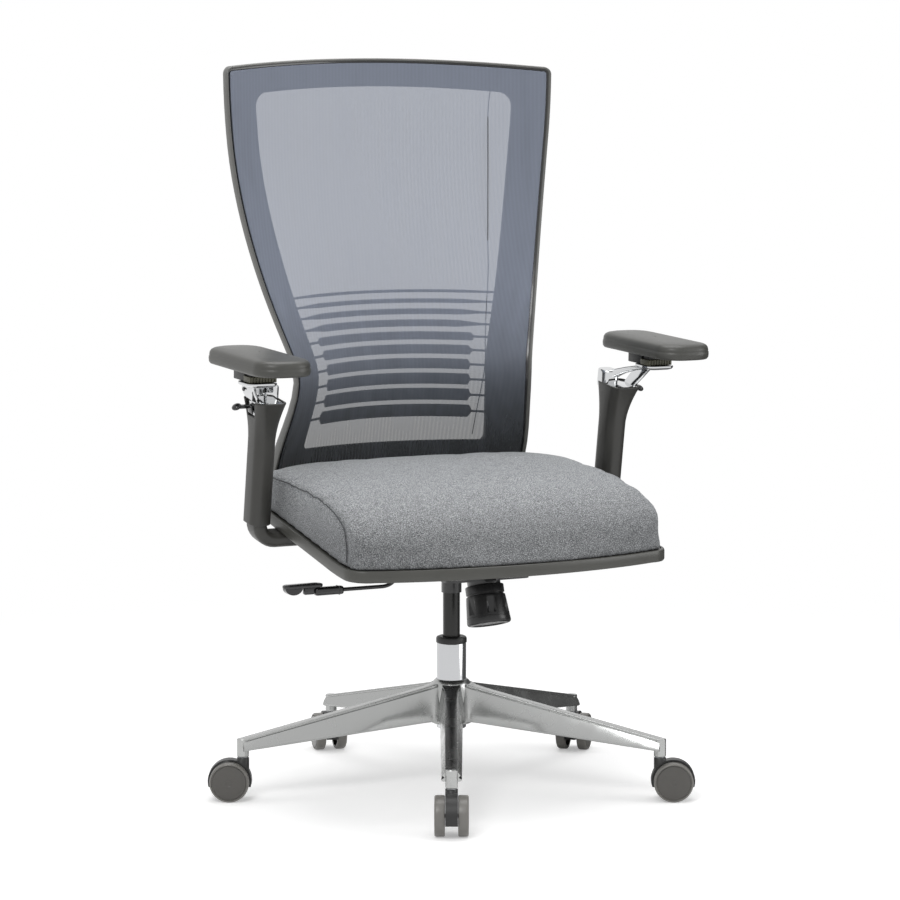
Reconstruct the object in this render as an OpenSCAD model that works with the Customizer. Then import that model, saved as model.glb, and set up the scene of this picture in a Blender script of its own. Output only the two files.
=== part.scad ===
// Mesh-back swivel chair with adjustable arms, lumbar frame and a five-star base.
// Millimetres, +Z up. The origin is the floor point on the swivel axis; the sitter faces -Y.

/* [Base and casters] */
// Radius of the circle that the caster stems stand on
stem_circle = 331; // [300:1:345]
// Turn of the star about the column, from a leg pointing straight ahead
base_turn = -27; // [-72:1:72]
// Diameter of a caster wheel
wheel_d = 60; // [54:1:62]
// Thickness of one caster wheel
wheel_w = 15.5; // [12:0.5:17]
// Width of the caster body between its two wheels
caster_web = 18.4; // [16:0.2:22]
// Distance that the wheel axle trails behind the stem
caster_trail = 20; // [15:1:24]
// Diameter of the caster axle
axle_d = 6; // [5:0.5:8]
// Diameter of the caster stem
stem_d = 11; // [9:0.5:12]
// Height of the underside of a leg's end socket
socket_bottom = 66.5; // [66.5:0.5:72]
// Outer diameter of a leg's end socket
socket_d = 18.5; // [16:0.5:26]
// Width of a leg at the hub
leg_w_hub = 38; // [34:1:44]
// Width of a leg at its end
leg_w_end = 30; // [23:1:32]
// Height of the top of the hub
hub_top = 168; // [160:1:176]
// Depth of a leg at the hub
leg_deep_hub = 64; // [50:1:68]
// Depth of a leg at its end
leg_deep_end = 18; // [14:1:22]
// Outer diameter of the hub
hub_d = 63; // [60:1:70]

/* [Column] */
// Outer diameter of the gas column's outer tube
tube_d = 45; // [43:0.5:50]
// Height of the top of the outer tube
tube_top = 224; // [215:1:235]
// Height of the cap ring that closes the outer tube
cap_h = 10; // [8:1:14]
// Diameter of the gas piston
piston_d = 26; // [24:0.5:28]
// Diameter of the valve button in the top of the piston
button_d = 8; // [6:0.5:9]

/* [Tilt mechanism] */
// Height of the mechanism housing's underside
housing_z = 336; // [330:1:340]
// Height of the mechanism housing
housing_h = 30; // [28:1:32]
// Width of the mechanism housing
housing_w = 140; // [130:1:150]
// Distance from the swivel axis forward to the housing's front
housing_front = 128; // [120:1:134]
// Distance from the swivel axis back to the housing's rear
housing_rear = 92; // [88:1:100]
// Outer diameter of the sleeve that grips the piston
grip_d = 31; // [30:0.5:34]
// Height of the bottom of the grip sleeve
grip_z = 302; // [296:1:308]
// Diameter of the recline pivot pin
recline_pin_d = 10; // [8:0.5:12]
// Diameter of the seat's tilt pivot pin
tilt_pin_d = 8; // [6:0.5:9]
// Distance of the recline pivot behind the swivel axis
recline_y = 70; // [66:1:74]
// Distance of the seat's tilt pivot in front of the swivel axis
tilt_y = 70; // [66:1:74]
// Forward lean of the tension knob's axis in degrees
knob_lean = 16.7; // [10:0.1:20]
// Diameter of the tension knob at its lower end
knob_d = 67; // [60:1:70]
// Length of the tension knob
knob_len = 59; // [48:1:68]
// Number of grip flutes round the tension knob
knob_flutes = 6; // [5:1:12]

/* [Lift lever] */
// Diameter of the lever rod
rod_d = 6; // [5:0.5:7]
// Drop of the lever's outer end below its pivot
lever_drop = 42; // [38:1:46]
// Distance of the grip sleeve's outer end from the swivel axis
lever_reach = 243; // [230:1:255]
// Length of the grip sleeve
grip_len = 59; // [50:1:64]
// Length of the lock paddle's blade
paddle_len = 66; // [56:1:70]

/* [Seat] */
// Width of the seat pan
pan_w = 534; // [510:1:536]
// Depth of the seat pan from its side corners at the front to the rear
pan_depth = 372; // [350:1:374]
// Share of the pan's depth by which its front edge bows forward in the middle
front_bow = 0.2; // [0.1:0.01:0.24]
// Depth of the rim that runs round the pan
rim_h = 16.5; // [14:0.5:20]
// Thickness of the pan
pan_t = 9; // [7:0.5:10]
// Height of the pan's rim at the front
pan_front_z = 375; // [374:1:380]
// Radius of the seat's corners
seat_corner_r = 36; // [28:1:50]
// Rise of the pan towards the rear in degrees
pan_rise = 11.5; // [10:0.1:12]
// Height of the cushion's highest line
cushion_top = 499; // [480:1:505]
// Inset of the cushion from the pan's edge
cushion_inset = 4; // [3:0.5:8]

/* [Arms] */
// Distance of each arm post's axis from the middle plane
arm_x = 303; // [300:1:315]
// Distance of each arm post's foot behind the swivel axis
arm_y = 50; // [44:1:56]
// Height of each arm post's foot
arm_z = 421; // [419:1:430]
// Forward lean of the arm posts in degrees
arm_lean = 9; // [7:0.1:11]
// Width of an arm post across the chair
post_w = 34; // [33:0.5:38]
// Depth of an arm post along the chair
post_d = 46; // [45:0.5:52]
// Length of an arm post
post_len = 192; // [180:1:200]
// Width of an arm post's flared mouth
mouth_w = 54; // [50:1:60]
// Depth of an arm post's flared mouth
mouth_d = 70; // [64:1:74]
// Wall of an arm post
post_wall = 3; // [2:0.1:3]
// Thickness of the arm's lower bar
bar_t = 22; // [20:0.5:24]
// Length of an arm pad
pad_len = 225; // [200:1:250]
// Width of an arm pad
pad_w = 90; // [80:1:100]
// Thickness of an arm pad
pad_t = 24; // [20:0.5:28]
// Height of an arm pad's underside
pad_z = 661; // [656:1:668]
// Distance of an arm pad's centre from the middle plane
pad_x = 344; // [338:1:352]
// Distance of an arm pad's centre in front of the swivel axis
pad_y = 48; // [40:1:56]
// Nose-down tilt of the arm pads in degrees
pad_tilt = 2.5; // [0:0.1:4]

/* [Back] */
// Height of the back's lower edge
back_foot = 415; // [405:1:425]
// Height of the back's top corners
back_top = 1103; // [1040:1:1140]
// Rise of the top edge in the middle above its corners
top_crown = 13; // [6:1:20]
// Height of the narrowest line of the back
waist_z = 625; // [610:1:640]
// Width of the back at the top
top_w = 564; // [530:1:580]
// Width of the back at the waist
waist_w = 406; // [390:1:420]
// Width of the back at its foot
foot_w = 438; // [425:1:444]
// Distance of the back's side edges behind the swivel axis at the top
top_y = 201; // [190:1:215]
// Distance of the back's side edges behind the swivel axis at the waist
waist_y = 118; // [112:1:124]
// Depth of the back's curve across its width at the top
wrap_top = 60; // [50:1:70]
// Depth of the back's curve across its width at the waist
wrap_waist = 95; // [80:1:100]
// Width of the frame's border beside the window
border_w = 57; // [48:1:62]
// Width of the frame's border above the window
border_top = 40; // [32:1:50]
// Height of the lower edge of the window
window_foot = 511; // [500:1:520]
// Number of lumbar ribs
rib_count = 10; // [6:1:10]
// Height of the lowest lumbar rib
rib_low = 557; // [550:1:562]
// Height of the highest lumbar rib
rib_high = 746; // [735:1:760]
// Thickness of the lowest lumbar rib
rib_t_low = 20; // [16:0.5:22]
// Thickness of the highest lumbar rib
rib_t_high = 4.5; // [4:0.5:6]
// Rise of each rib in its middle
rib_arch = 4; // [0:0.5:6]
// Thickness of the inner frame
frame_t = 6; // [5:0.5:8]
// Thickness of the outer shell at the top
shell_t_top = 18; // [14:0.5:24]
// Thickness of the outer shell at its foot
shell_t_foot = 34; // [28:0.5:38]
// Width of the bar that carries the back
carrier_w = 78; // [64:1:90]

/* [Hidden] */
run_fit = 0.05;     // radial clearance of a pin or shaft that turns
gap = 0.3;          // clearance between pieces that slide or lie side by side
$fn = 48;

plastic_black = [0.14, 0.14, 0.15];
plastic_grey = [0.23, 0.23, 0.22];
steel = [0.62, 0.63, 0.64];
alu = [0.78, 0.78, 0.77];
fabric_grey = [0.52, 0.53, 0.55];

// ---- shared shapes -------------------------------------------------------------------------
module rounded_rect(w, d, r) {
    square([w - 2 * r, d], center = true);
    square([w, d - 2 * r], center = true);
    for (x = [-1, 1], y = [-1, 1]) translate([x * (w / 2 - r), y * (d / 2 - r)]) circle(r);
}
// A bar with its length along X, drawn as a rod between two points of the XZ plane
module rod_between(a, b, r) {
    v = b - a;
    translate([a[0], 0, a[1]]) rotate([0, atan2(v[0], v[1]), 0]) cylinder(r = r, h = norm(v));
}
// An outline in the YZ plane, drawn with Y across and Z up, made w wide across the chair
module across(w) rotate([90, 0, 90]) translate([0, 0, -w / 2]) linear_extrude(w) children();
// An outline in the XZ plane, made d deep along the chair from y0
module along(y0, d) translate([0, y0 + d, 0]) rotate([90, 0, 0]) linear_extrude(d) children();

// ---- base ------------------------------------------------------------------------------------
legs = 5;
leg_tip_top = socket_bottom + 27.5;
socket_r = socket_d / 2;
stem_r = stem_d / 2;
stem_bore_top = leg_tip_top - 4;
hub_bottom = hub_top - leg_deep_hub - 4;
leg_shell = 5;
leg_root = hub_d / 2 - 5;
leg_end = stem_circle + 2;
function leg_angle(i) = base_turn + i * 360 / legs;
function leg_slope() = (hub_top - 2 - leg_tip_top) / stem_circle;
module leg_side(cut) {
    top_drop = cut ? leg_shell + 1 : 0;
    r0 = cut ? hub_d / 2 + 8 : leg_root;
    r1 = cut ? stem_circle - socket_r - 8 : leg_end;
    low = cut ? 30 : 0;
    polygon([[r0, hub_top - 2 - top_drop - r0 * leg_slope()], [r1, leg_tip_top - top_drop + (stem_circle - r1) * leg_slope()],
        [r1, leg_tip_top - leg_deep_end - low], [hub_d / 2 + 6, hub_top - leg_deep_hub - low], [r0, hub_top - leg_deep_hub - low]]);
}
module leg_plan(inset) {
    polygon([[leg_root, leg_w_hub / 2 - inset], [leg_end, leg_w_end / 2 - inset],
        [leg_end, inset - leg_w_end / 2], [leg_root, inset - leg_w_hub / 2]]);
}
module leg(cut) intersection() {
    rotate([90, 0, 0]) translate([0, 0, -leg_w_hub]) linear_extrude(2 * leg_w_hub) leg_side(cut);
    linear_extrude(hub_top) leg_plan(cut ? leg_shell : 0);
}
module base_star() {
    color(alu) difference() {
        union() {
            translate([0, 0, hub_bottom]) cylinder(d = hub_d, h = hub_top - hub_bottom);
            for (i = [0 : legs - 1]) rotate([0, 0, leg_angle(i) - 90]) {
                leg(false);
                translate([stem_circle, 0, socket_bottom]) cylinder(r = socket_r, h = leg_tip_top - socket_bottom);
            }
        }
        translate([0, 0, hub_bottom - 1]) cylinder(d = tube_d + 2 * run_fit, h = hub_top);
        for (i = [0 : legs - 1]) rotate([0, 0, leg_angle(i) - 90]) {
            leg(true);
            translate([stem_circle, 0, socket_bottom - 1]) cylinder(r = stem_r + run_fit, h = stem_bore_top - socket_bottom + 1);
        }
    }
}

// ---- column ----------------------------------------------------------------------------------
tube_wall = 2;
tube_foot = hub_bottom - 8;
cap_top = tube_top + cap_h;
bush_len = 48;
piston_r = piston_d / 2;
piston_foot = 152;
piston_top = housing_z + 14;
button_r = button_d / 2;
button_top = piston_top + 7;
button_len = 17;
module column_tube() {
    color(steel) difference() {
        translate([0, 0, tube_foot]) cylinder(d = tube_d, h = tube_top - tube_foot);
        translate([0, 0, tube_foot + 3]) cylinder(d = tube_d - 2 * tube_wall, h = tube_top);
    }
}
module column_cap() {
    color(plastic_black) difference() {
        union() {
            translate([0, 0, tube_top]) cylinder(d = tube_d + 2, h = cap_h - 1.5);
            translate([0, 0, cap_top - 1.5]) cylinder(d1 = tube_d + 2, d2 = tube_d - 1, h = 1.5);
            translate([0, 0, tube_top - bush_len]) cylinder(d = tube_d - 2 * tube_wall - 2 * run_fit, h = bush_len + 1);
        }
        translate([0, 0, tube_top - bush_len - 1]) cylinder(r = piston_r + run_fit, h = bush_len + cap_h + 2);
    }
}
module column_piston() {
    color(plastic_black) difference() {
        translate([0, 0, piston_foot]) cylinder(r = piston_r, h = piston_top - piston_foot);
        translate([0, 0, button_top - button_len - 5]) cylinder(r = button_r + run_fit, h = button_len + 5);
    }
}
module valve_button() {
    color(steel) translate([0, 0, button_top - button_len]) cylinder(r = button_r, h = button_len);
}

// ---- casters ---------------------------------------------------------------------------------
// Direction in which each caster's wheels trail, measured from the star's first leg
trail_turn = [0, 90, 166, 194, 270];
wheel_r = wheel_d / 2;
web_r = wheel_r + 3;
axle_r = axle_d / 2;
axle_end = caster_web / 2 + gap + wheel_w - 3;
collar_h = 1.4;
body_top = socket_bottom - collar_h - gap;
module at_caster(i) rotate([0, 0, leg_angle(i)]) translate([0, -stem_circle, 0])
    rotate([0, 0, base_turn + trail_turn[i] - leg_angle(i)]) children();
module at_axle() translate([0, -caster_trail, wheel_r]) rotate([0, 90, 0]) children();
module caster_body(i) {
    color(plastic_black) at_caster(i) difference() {
        union() {
            intersection() {
                at_axle() cylinder(r = web_r, h = caster_web, center = true);
                translate([-caster_web, -caster_trail - web_r, wheel_r - 9]) cube([2 * caster_web, 2 * web_r, 2 * web_r]);
            }
            translate([0, 0, wheel_r - 4]) cylinder(r = caster_web / 2, h = body_top - wheel_r + 4);
            at_axle() cylinder(r = axle_r + 5, h = caster_web, center = true);
        }
        at_axle() cylinder(r = axle_r + run_fit, h = 2 * caster_web, center = true);
        translate([0, 0, wheel_r]) cylinder(r = stem_r + run_fit, h = wheel_d);
    }
}
module caster_pins(i) {
    color(steel) at_caster(i) {
        translate([0, 0, wheel_r + 1]) cylinder(r = stem_r, h = stem_bore_top - 2 - wheel_r - 1);
        translate([0, 0, body_top]) cylinder(r = stem_r + 2, h = collar_h);
        at_axle() cylinder(r = axle_r, h = 2 * axle_end, center = true);
    }
}
// side is 1 for the wheel on the local +X side and -1 for the other
module caster_wheel(i, side) {
    round_r = 3.5;
    dish = 1.2;
    color(plastic_grey) at_caster(i) translate([side * (caster_web / 2 + gap), 0, 0]) at_axle()
    mirror([0, 0, side < 0 ? 1 : 0]) difference() {
        rotate_extrude() union() {
            square([wheel_r, wheel_w - round_r]);
            square([wheel_r - round_r, wheel_w]);
            translate([wheel_r - round_r, wheel_w - round_r]) circle(round_r);
        }
        translate([0, 0, -1]) cylinder(r = axle_r + run_fit, h = axle_end - caster_web / 2 - gap + 1.5);
        translate([0, 0, wheel_w - dish]) rotate_extrude() translate([wheel_r * 0.66, 0]) square([1.6, dish + 1]);
        translate([0, 0, -1]) rotate_extrude() translate([wheel_r * 0.42, 0]) square([wheel_r * 0.4, 6]);
    }
}

// ---- tilt mechanism --------------------------------------------------------------------------
housing_top = housing_z + housing_h;
housing_wall = 5;
floor_t = 4;
floor_end = recline_y - 22;
pin_z = housing_z + 16;
recline_r = recline_pin_d / 2;
tilt_r = tilt_pin_d / 2;
tilt_z = housing_z + 21;
grip_bore = piston_r + run_fit;
knob_y = -106;
knob_z = housing_z - 2;
neck_r = 25;
neck_len = 8;
rod_r = rod_d / 2;
tension_r = 4;
spring_turns = 4;
spring_r = 11;
spring_wire = 1.6;
spring_seat = 12;
spring_foot = spring_seat + spring_wire;
spring_h = 9;
lever_pivot_x = -30;
lever_z = button_top + gap + rod_r;
lever_pin_r = 2;
knuckle_r = 14;
module at_knob() translate([0, knob_y, knob_z]) rotate([-knob_lean, 0, 0]) children();
module mechanism_housing() {
    color(plastic_black) difference() {
        union() {
            difference() {
                translate([0, (housing_rear - housing_front) / 2, housing_z]) linear_extrude(housing_h)
                    rounded_rect(housing_w, housing_rear + housing_front, 12);
                translate([0, (floor_end - housing_front) / 2, housing_z + floor_t]) linear_extrude(housing_h)
                    rounded_rect(housing_w - 2 * housing_wall, floor_end + housing_front - 2 * housing_wall, 8);
                translate([housing_wall - housing_w / 2, floor_end - 30, housing_z + floor_t])
                    cube([housing_w - 2 * housing_wall, housing_rear, housing_h]);
                translate([housing_wall - housing_w / 2, floor_end, housing_z - 1])
                    cube([housing_w - 2 * housing_wall, housing_rear, housing_h + 2]);
            }
            translate([0, 0, grip_z]) cylinder(d = grip_d, h = housing_z - grip_z + 1);
            translate([0, 0, housing_z]) cylinder(d = grip_d + 4, h = piston_top - housing_z + 2.5);
            intersection() {
                at_knob() translate([0, 0, -neck_len]) cylinder(r = neck_r, h = neck_len + 12);
                translate([0, knob_y, housing_z - 30]) cylinder(r = 2 * neck_r, h = 30 + floor_t);
            }
            at_knob() translate([0, 0, 2]) cylinder(r = spring_r + 3, h = spring_seat - 2);
            for (s = [-1, 1]) translate([lever_pivot_x - 5, s * 12 - 2, housing_z]) cube([10, 4, lever_z + 5 - housing_z]);
            translate([lever_pivot_x, 0, lever_z]) rotate([90, 0, 0]) cylinder(r = lever_pin_r, h = 26, center = true);
        }
        translate([0, 0, grip_z - 1]) cylinder(r = grip_bore, h = piston_top + gap - grip_z + 1);
        translate([0, 0, piston_top]) cylinder(r = button_r + 1, h = 10);
        at_knob() translate([0, 0, -30]) cylinder(r = tension_r + gap, h = 60);
        translate([0, recline_y, pin_z]) rotate([0, 90, 0]) cylinder(r = recline_r + run_fit, h = 2 * housing_w, center = true);
        translate([0, -tilt_y, tilt_z]) rotate([0, 90, 0]) cylinder(r = tilt_r + run_fit, h = 2 * housing_w, center = true);
        translate([-housing_w / 2 - 1, -rod_d, housing_z + floor_t]) cube([housing_wall + 2, 2 * rod_d, housing_h]);
    }
}
module recline_pin() {
    color(steel) translate([0, recline_y, pin_z]) rotate([0, 90, 0]) cylinder(r = recline_r, h = housing_w + 4, center = true);
}
ear_t = 4;
ear_x = housing_w / 2 + gap;
carrier_t = 3;
carrier_half = ear_x + ear_t + 20.7;
carrier_len = 214;
seat_bolt_r = 3;
seat_bolt_x = carrier_half - 12;
seat_bolt_y = [24, carrier_len - 14];
module seat_tilt_pin() {
    color(steel) translate([0, -tilt_y, tilt_z]) rotate([0, 90, 0]) cylinder(r = tilt_r, h = housing_w + 2 * ear_t + 4, center = true);
}
module seat_carrier() {
    color(steel) difference() {
        union() {
            at_pan() translate([-carrier_half, 0, -carrier_t]) cube([2 * carrier_half, carrier_len, carrier_t]);
            for (s = [-1, 1]) intersection() {
                translate([s * (ear_x + ear_t / 2) - ear_t / 2, -tilt_y - 12, tilt_z - 12]) cube([ear_t, 24, 60]);
                at_pan() translate([-carrier_half, 0, -60]) cube([2 * carrier_half, carrier_len, 60 - carrier_t / 2]);
            }
        }
        translate([0, -tilt_y, tilt_z]) rotate([0, 90, 0]) cylinder(r = tilt_r + run_fit, h = 2 * housing_w, center = true);
        at_seat_bolts() translate([0, 0, -carrier_t - 1]) cylinder(r = seat_bolt_r + run_fit, h = carrier_t + 2);
    }
}
module tension_knob() {
    collar_r = 29;
    collar_h = 8;
    flute_r = 7.5;
    color(plastic_black) at_knob() translate([0, 0, -neck_len - gap]) mirror([0, 0, 1]) difference() {
        union() {
            cylinder(r = collar_r, h = collar_h);
            translate([0, 0, collar_h]) cylinder(r = collar_r - 1.5, h = 2);
            translate([0, 0, collar_h + 2]) cylinder(r1 = collar_r, r2 = knob_d / 2, h = knob_len - collar_h - 5);
            translate([0, 0, knob_len - 3]) cylinder(r1 = knob_d / 2, r2 = knob_d / 2 - 4, h = 3);
        }
        for (i = [0 : knob_flutes - 1]) rotate([0, 0, i * 360 / knob_flutes])
            translate([collar_r + flute_r, 0, collar_h + 7]) cylinder(r = flute_r, h = knob_len);
        translate([0, 0, -1]) cylinder(r = tension_r + run_fit, h = knob_len - 11);
    }
}
module tension_rod() {
    rod_foot = 13 - neck_len - gap - knob_len;
    washer_z = spring_foot + spring_h + spring_wire + gap / 3;
    color(steel) at_knob() {
        translate([0, 0, rod_foot]) cylinder(r = tension_r, h = washer_z - rod_foot + 1);
        translate([0, 0, washer_z]) cylinder(r = spring_r + 2, h = 2.5);
    }
}
function coil_point(t) = [spring_r * cos(360 * t), spring_r * sin(360 * t), spring_foot + spring_h * t / spring_turns];
module tension_spring() {
    sides = 8;
    rings = 16 * spring_turns;
    points = [for (k = [0 : rings], j = [0 : sides - 1]) let (t = k / 16, a = 360 * t, b = 360 * j / sides)
        coil_point(t) + spring_wire * [cos(b) * cos(a), cos(b) * sin(a), sin(b)]];
    walls = [for (k = [0 : rings - 1], j = [0 : sides - 1]) let (n = (j + 1) % sides)
        [k * sides + j, (k + 1) * sides + j, (k + 1) * sides + n, k * sides + n]];
    ends = [[for (j = [0 : sides - 1]) j], [for (j = [sides - 1 : -1 : 0]) rings * sides + j]];
    color(steel) at_knob() polyhedron(points, concat(walls, ends), convexity = 6);
}

// ---- lift lever ------------------------------------------------------------------------------
lever_low = lever_z - lever_drop;
paddle_root = 16;
lever_end = lever_reach + paddle_root + 3;
grip_r = 6.5;
lever_path = [[4, lever_z], [-40, lever_z], [-56, lever_z - 9], [-88, lever_z - 14], [-100, lever_low], [-lever_end, lever_low]];
module lift_lever() {
    color(plastic_black) difference() {
        union() {
            for (k = [0 : len(lever_path) - 2]) rod_between(lever_path[k], lever_path[k + 1], rod_r);
            for (k = [1 : len(lever_path) - 2]) translate([lever_path[k][0], 0, lever_path[k][1]]) sphere(rod_r + 0.3);
            translate([lever_pivot_x, 0, lever_z]) rotate([90, 0, 0]) cylinder(r = rod_r + 2, h = 16, center = true);
        }
        translate([lever_pivot_x, 0, lever_z]) rotate([90, 0, 0]) cylinder(r = lever_pin_r + run_fit, h = 20, center = true);
    }
}
module lever_grip() {
    color(plastic_black) translate([-lever_reach, 0, lever_low]) rotate([0, 90, 0]) difference() {
        cylinder(r = grip_r, h = grip_len);
        translate([0, 0, -1]) cylinder(r = rod_r + run_fit, h = grip_len + 2);
    }
}
module lock_paddle() {
    blade_t = 5;
    blade_w = 18;
    color(plastic_black) translate([-lever_reach - gap, 0, lever_low]) difference() {
        union() {
            rotate([0, -90, 0]) cylinder(r = grip_r, h = paddle_root);
            translate([-paddle_root, -4, 0]) cube([paddle_root, 8, grip_r + 2]);
            translate([-paddle_len / 2 - 5, 0, grip_r + 1]) linear_extrude(blade_t) rounded_rect(paddle_len, blade_w, 6);
        }
        translate([1, 0, 0]) rotate([0, -90, 0]) cylinder(r = rod_r + run_fit, h = paddle_root + 2);
    }
}

// ---- seat ------------------------------------------------------------------------------------
pan_rear = 158;
pan_mid_y = pan_rear - pan_depth / 2;
rear_bow = 0.15;
bend_y = -130;
bend_start = -230;
function pan_top(y) = y > bend_y ? pan_front_z + tan(pan_rise) * (y - (bend_y + bend_start) / 2)
    : y > bend_start ? pan_front_z + tan(pan_rise) * (y - bend_start) * (y - bend_start) / (2 * (bend_y - bend_start))
    : pan_front_z;
// Plan outline of the seat: straight sides, round corners, and front and rear edges that bow outwards
function seat_outline(inset) = let (w = pan_w / 2 - inset, d = pan_depth / 2 - inset, r = seat_corner_r - inset,
    corner = [for (a = [0 : 10 : 70]) [w - r + r * cos(a), d - r + r * sin(a)]],
    edge = function (bow) [for (k = [5 : -1 : -5]) let (x = (w - r) * k / 6) [x, d + bow * pan_depth / 2 * (1 - pow(x / (w - r), 2))]],
    half = function (bow) concat(corner, edge(bow), [for (k = [7 : -1 : 0]) [-corner[k][0], corner[k][1]]]))
    concat([for (p = half(rear_bow)) [p[0], pan_mid_y + p[1]]], [for (p = half(front_bow)) [-p[0], pan_mid_y - p[1]]]);
seat_y = [-280, bend_start, -205, -180, -155, bend_y, 0, 200];
module seat_layer(low, high) across(pan_w + 20)
    polygon(concat([for (y = seat_y) [y, pan_top(y) + low]], [for (k = [len(seat_y) - 1 : -1 : 0]) [seat_y[k], pan_top(seat_y[k]) + high]]));
module seat_column(inset) translate([0, 0, housing_z]) linear_extrude(300) polygon(seat_outline(inset));
// Frame on the pan's underside: Y runs up its slope and Z points square to it, into the pan
module at_pan() translate([0, -tilt_y - 14, pan_top(-tilt_y - 14) - pan_t]) rotate([pan_rise, 0, 0]) children();
module at_seat_bolts() at_pan() for (x = [-1, 1], y = seat_bolt_y) translate([x * seat_bolt_x, y, 0]) children();
module arm_frame(side) translate([side * arm_x, arm_y, arm_z]) rotate([arm_lean, 0, 0]) mirror([side < 0 ? 1 : 0, 0, 0]) children();
bar_low = -37;
bar_top = bar_low + bar_t;
bar_in = 175;
bar_d = 44;
arm_bolt_x = [-150, -90];
arm_bolt_r = 3;
module seat_pan() {
    color(plastic_grey) difference() {
        union() {
            intersection() {
                seat_column(0);
                seat_layer(-pan_t, 0);
            }
            difference() {
                intersection() {
                    seat_column(0);
                    seat_layer(-rim_h, 0);
                }
                seat_column(8);
            }
            intersection() {
                for (s = [-1, 1]) arm_frame(s) translate([-bar_in, -bar_d / 2, bar_top]) cube([bar_in - 48, bar_d, 40]);
                seat_layer(-80, -1);
            }
        }
        at_seat_bolts() translate([0, 0, -1]) cylinder(r = seat_bolt_r + run_fit, h = pan_t - 1);
        for (s = [-1, 1]) arm_frame(s) translate([-48, -bar_d / 2, bar_low - 20]) cube([48, bar_d, bar_t + 20]);
        for (s = [-1, 1], x = arm_bolt_x) arm_frame(s) translate([x, 0, bar_low - 1])
            cylinder(r = arm_bolt_r + run_fit, h = bar_t + 11);
    }
}
module seat_cushion() {
    top = cushion_top;
    color(fabric_grey) intersection() {
        seat_column(cushion_inset);
        across(pan_w + 20) polygon(concat([for (y = seat_y) [y, pan_top(y) + gap]],
            [[200, top - 9], [150, top - 1], [90, top], [0, top - 5], [-75, top - 13], [-134, top - 27],
             [-175, top - 45], [-208, top - 70], [-230, top - 96], [-246, top - 118]]));
    }
}
module seat_bolts() {
    color(steel) at_seat_bolts() translate([0, 0, -carrier_t - 4]) {
        cylinder(r = 2 * seat_bolt_r, h = 4);
        cylinder(r = seat_bolt_r, h = carrier_t + pan_t + 1.5);
    }
}

// ---- arms ------------------------------------------------------------------------------------
cavity_w = post_w - 2 * post_wall;
cavity_d = post_d - 2 * post_wall;
tenon_top = 45;
slider_foot = tenon_top + 5;
neck_top = post_len + 22;
module arm_bar(side) {
    in_r = 12;
    tenon_w = cavity_w - 2 * gap;
    turn_x = -tenon_w / 2 - in_r;
    turn_z = bar_top + in_r;
    color(plastic_black) arm_frame(side) difference() {
        union() {
            translate([0, 0, turn_z]) linear_extrude(tenon_top - turn_z) rounded_rect(tenon_w, cavity_d - 2 * gap, 10);
            intersection() {
                translate([turn_x, 0, turn_z]) rotate([90, 0, 0]) difference() {
                    cylinder(r = in_r + tenon_w, h = cavity_d - 2 * gap, center = true);
                    cylinder(r = in_r, h = post_d, center = true);
                }
                translate([turn_x, -post_d, bar_low - 20]) cube([100, 2 * post_d, turn_z - bar_low + 20]);
            }
            translate([-bar_in, 2 * gap - bar_d / 2 + 1, bar_low]) cube([bar_in + turn_x, bar_d - 4 * gap - 2, bar_t - gap]);
        }
        for (x = arm_bolt_x) translate([x, 0, bar_low - 1]) cylinder(r = arm_bolt_r + run_fit, h = bar_t + 2);
    }
}
module arm_bolts() {
    color(steel) for (s = [-1, 1], x = arm_bolt_x) arm_frame(s) translate([x, 0, bar_low - 4]) {
        cylinder(r = 2 * arm_bolt_r, h = 4);
        cylinder(r = arm_bolt_r, h = bar_t + 13);
    }
}
notch_w = 18;
notch_h = 26;
mouth_out = 3.8;
mouth_fwd = 7;
module arm_post(side) {
    flare = [[0, post_w, post_d, 0], [post_len - 66, post_w, post_d, 0], [post_len - 36, post_w + 5, post_d + 6, 0.25],
        [post_len - 14, mouth_w - 8, mouth_d - 10, 0.6], [post_len, mouth_w, mouth_d, 1]];
    color(plastic_grey) arm_frame(side) difference() {
        union() {
            linear_extrude(flare[1][0]) rounded_rect(post_w, post_d, 14);
            for (k = [1 : 3]) hull() for (j = [k, k + 1])
                translate([mouth_out * flare[j][3], -mouth_fwd * flare[j][3], flare[j][0] - (j == k ? 0.5 : 1)]) linear_extrude(1) rounded_rect(flare[j][1], flare[j][2], 14, $fn = 32);
        }
        translate([0, 0, -1]) linear_extrude(post_len + 2) rounded_rect(cavity_w, cavity_d, 10);
        translate([cavity_w / 2 - 3, -notch_w / 2, post_len - notch_h]) cube([mouth_w, notch_w, notch_h + 1]);
    }
}
module pad_frame(side) translate([side * pad_x, -pad_y, pad_z]) rotate([pad_tilt, 0, 0]) mirror([side < 0 ? 1 : 0, 0, 0]) children();
plate_t = 6;
head_t = 7;
turn_pin_r = 5;
trigger_z = post_len - 12;
trigger_x = 6;
module arm_bracket(side) {
    slider_w = cavity_w - 2 * gap;
    slider_d = cavity_d - 2 * gap;
    color(alu) difference() {
        union() {
            arm_frame(side) translate([0, 0, slider_foot]) linear_extrude(neck_top - slider_foot - 1) rounded_rect(slider_w, slider_d, 9.7);
            hull() {
                arm_frame(side) translate([0, 0, neck_top - 6]) linear_extrude(6) rounded_rect(slider_w + 1, slider_d + 1, 10, $fn = 32);
                pad_frame(side) translate([0, 10, -plate_t - gap - head_t]) cylinder(r = 20, h = head_t, $fn = 32);
            }
            pad_frame(side) translate([0, 10, -plate_t - gap - 1]) cylinder(r = turn_pin_r, h = plate_t - 1);
        }
        arm_frame(side) translate([0, -notch_w / 2 + 1, trigger_z - 14]) cube([mouth_w, notch_w - 2, 27]);
    }
    color(steel) arm_frame(side) translate([trigger_x, 0, trigger_z]) rotate([90, 0, 0]) cylinder(r = 2, h = notch_w - 2, center = true);
}
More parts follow.
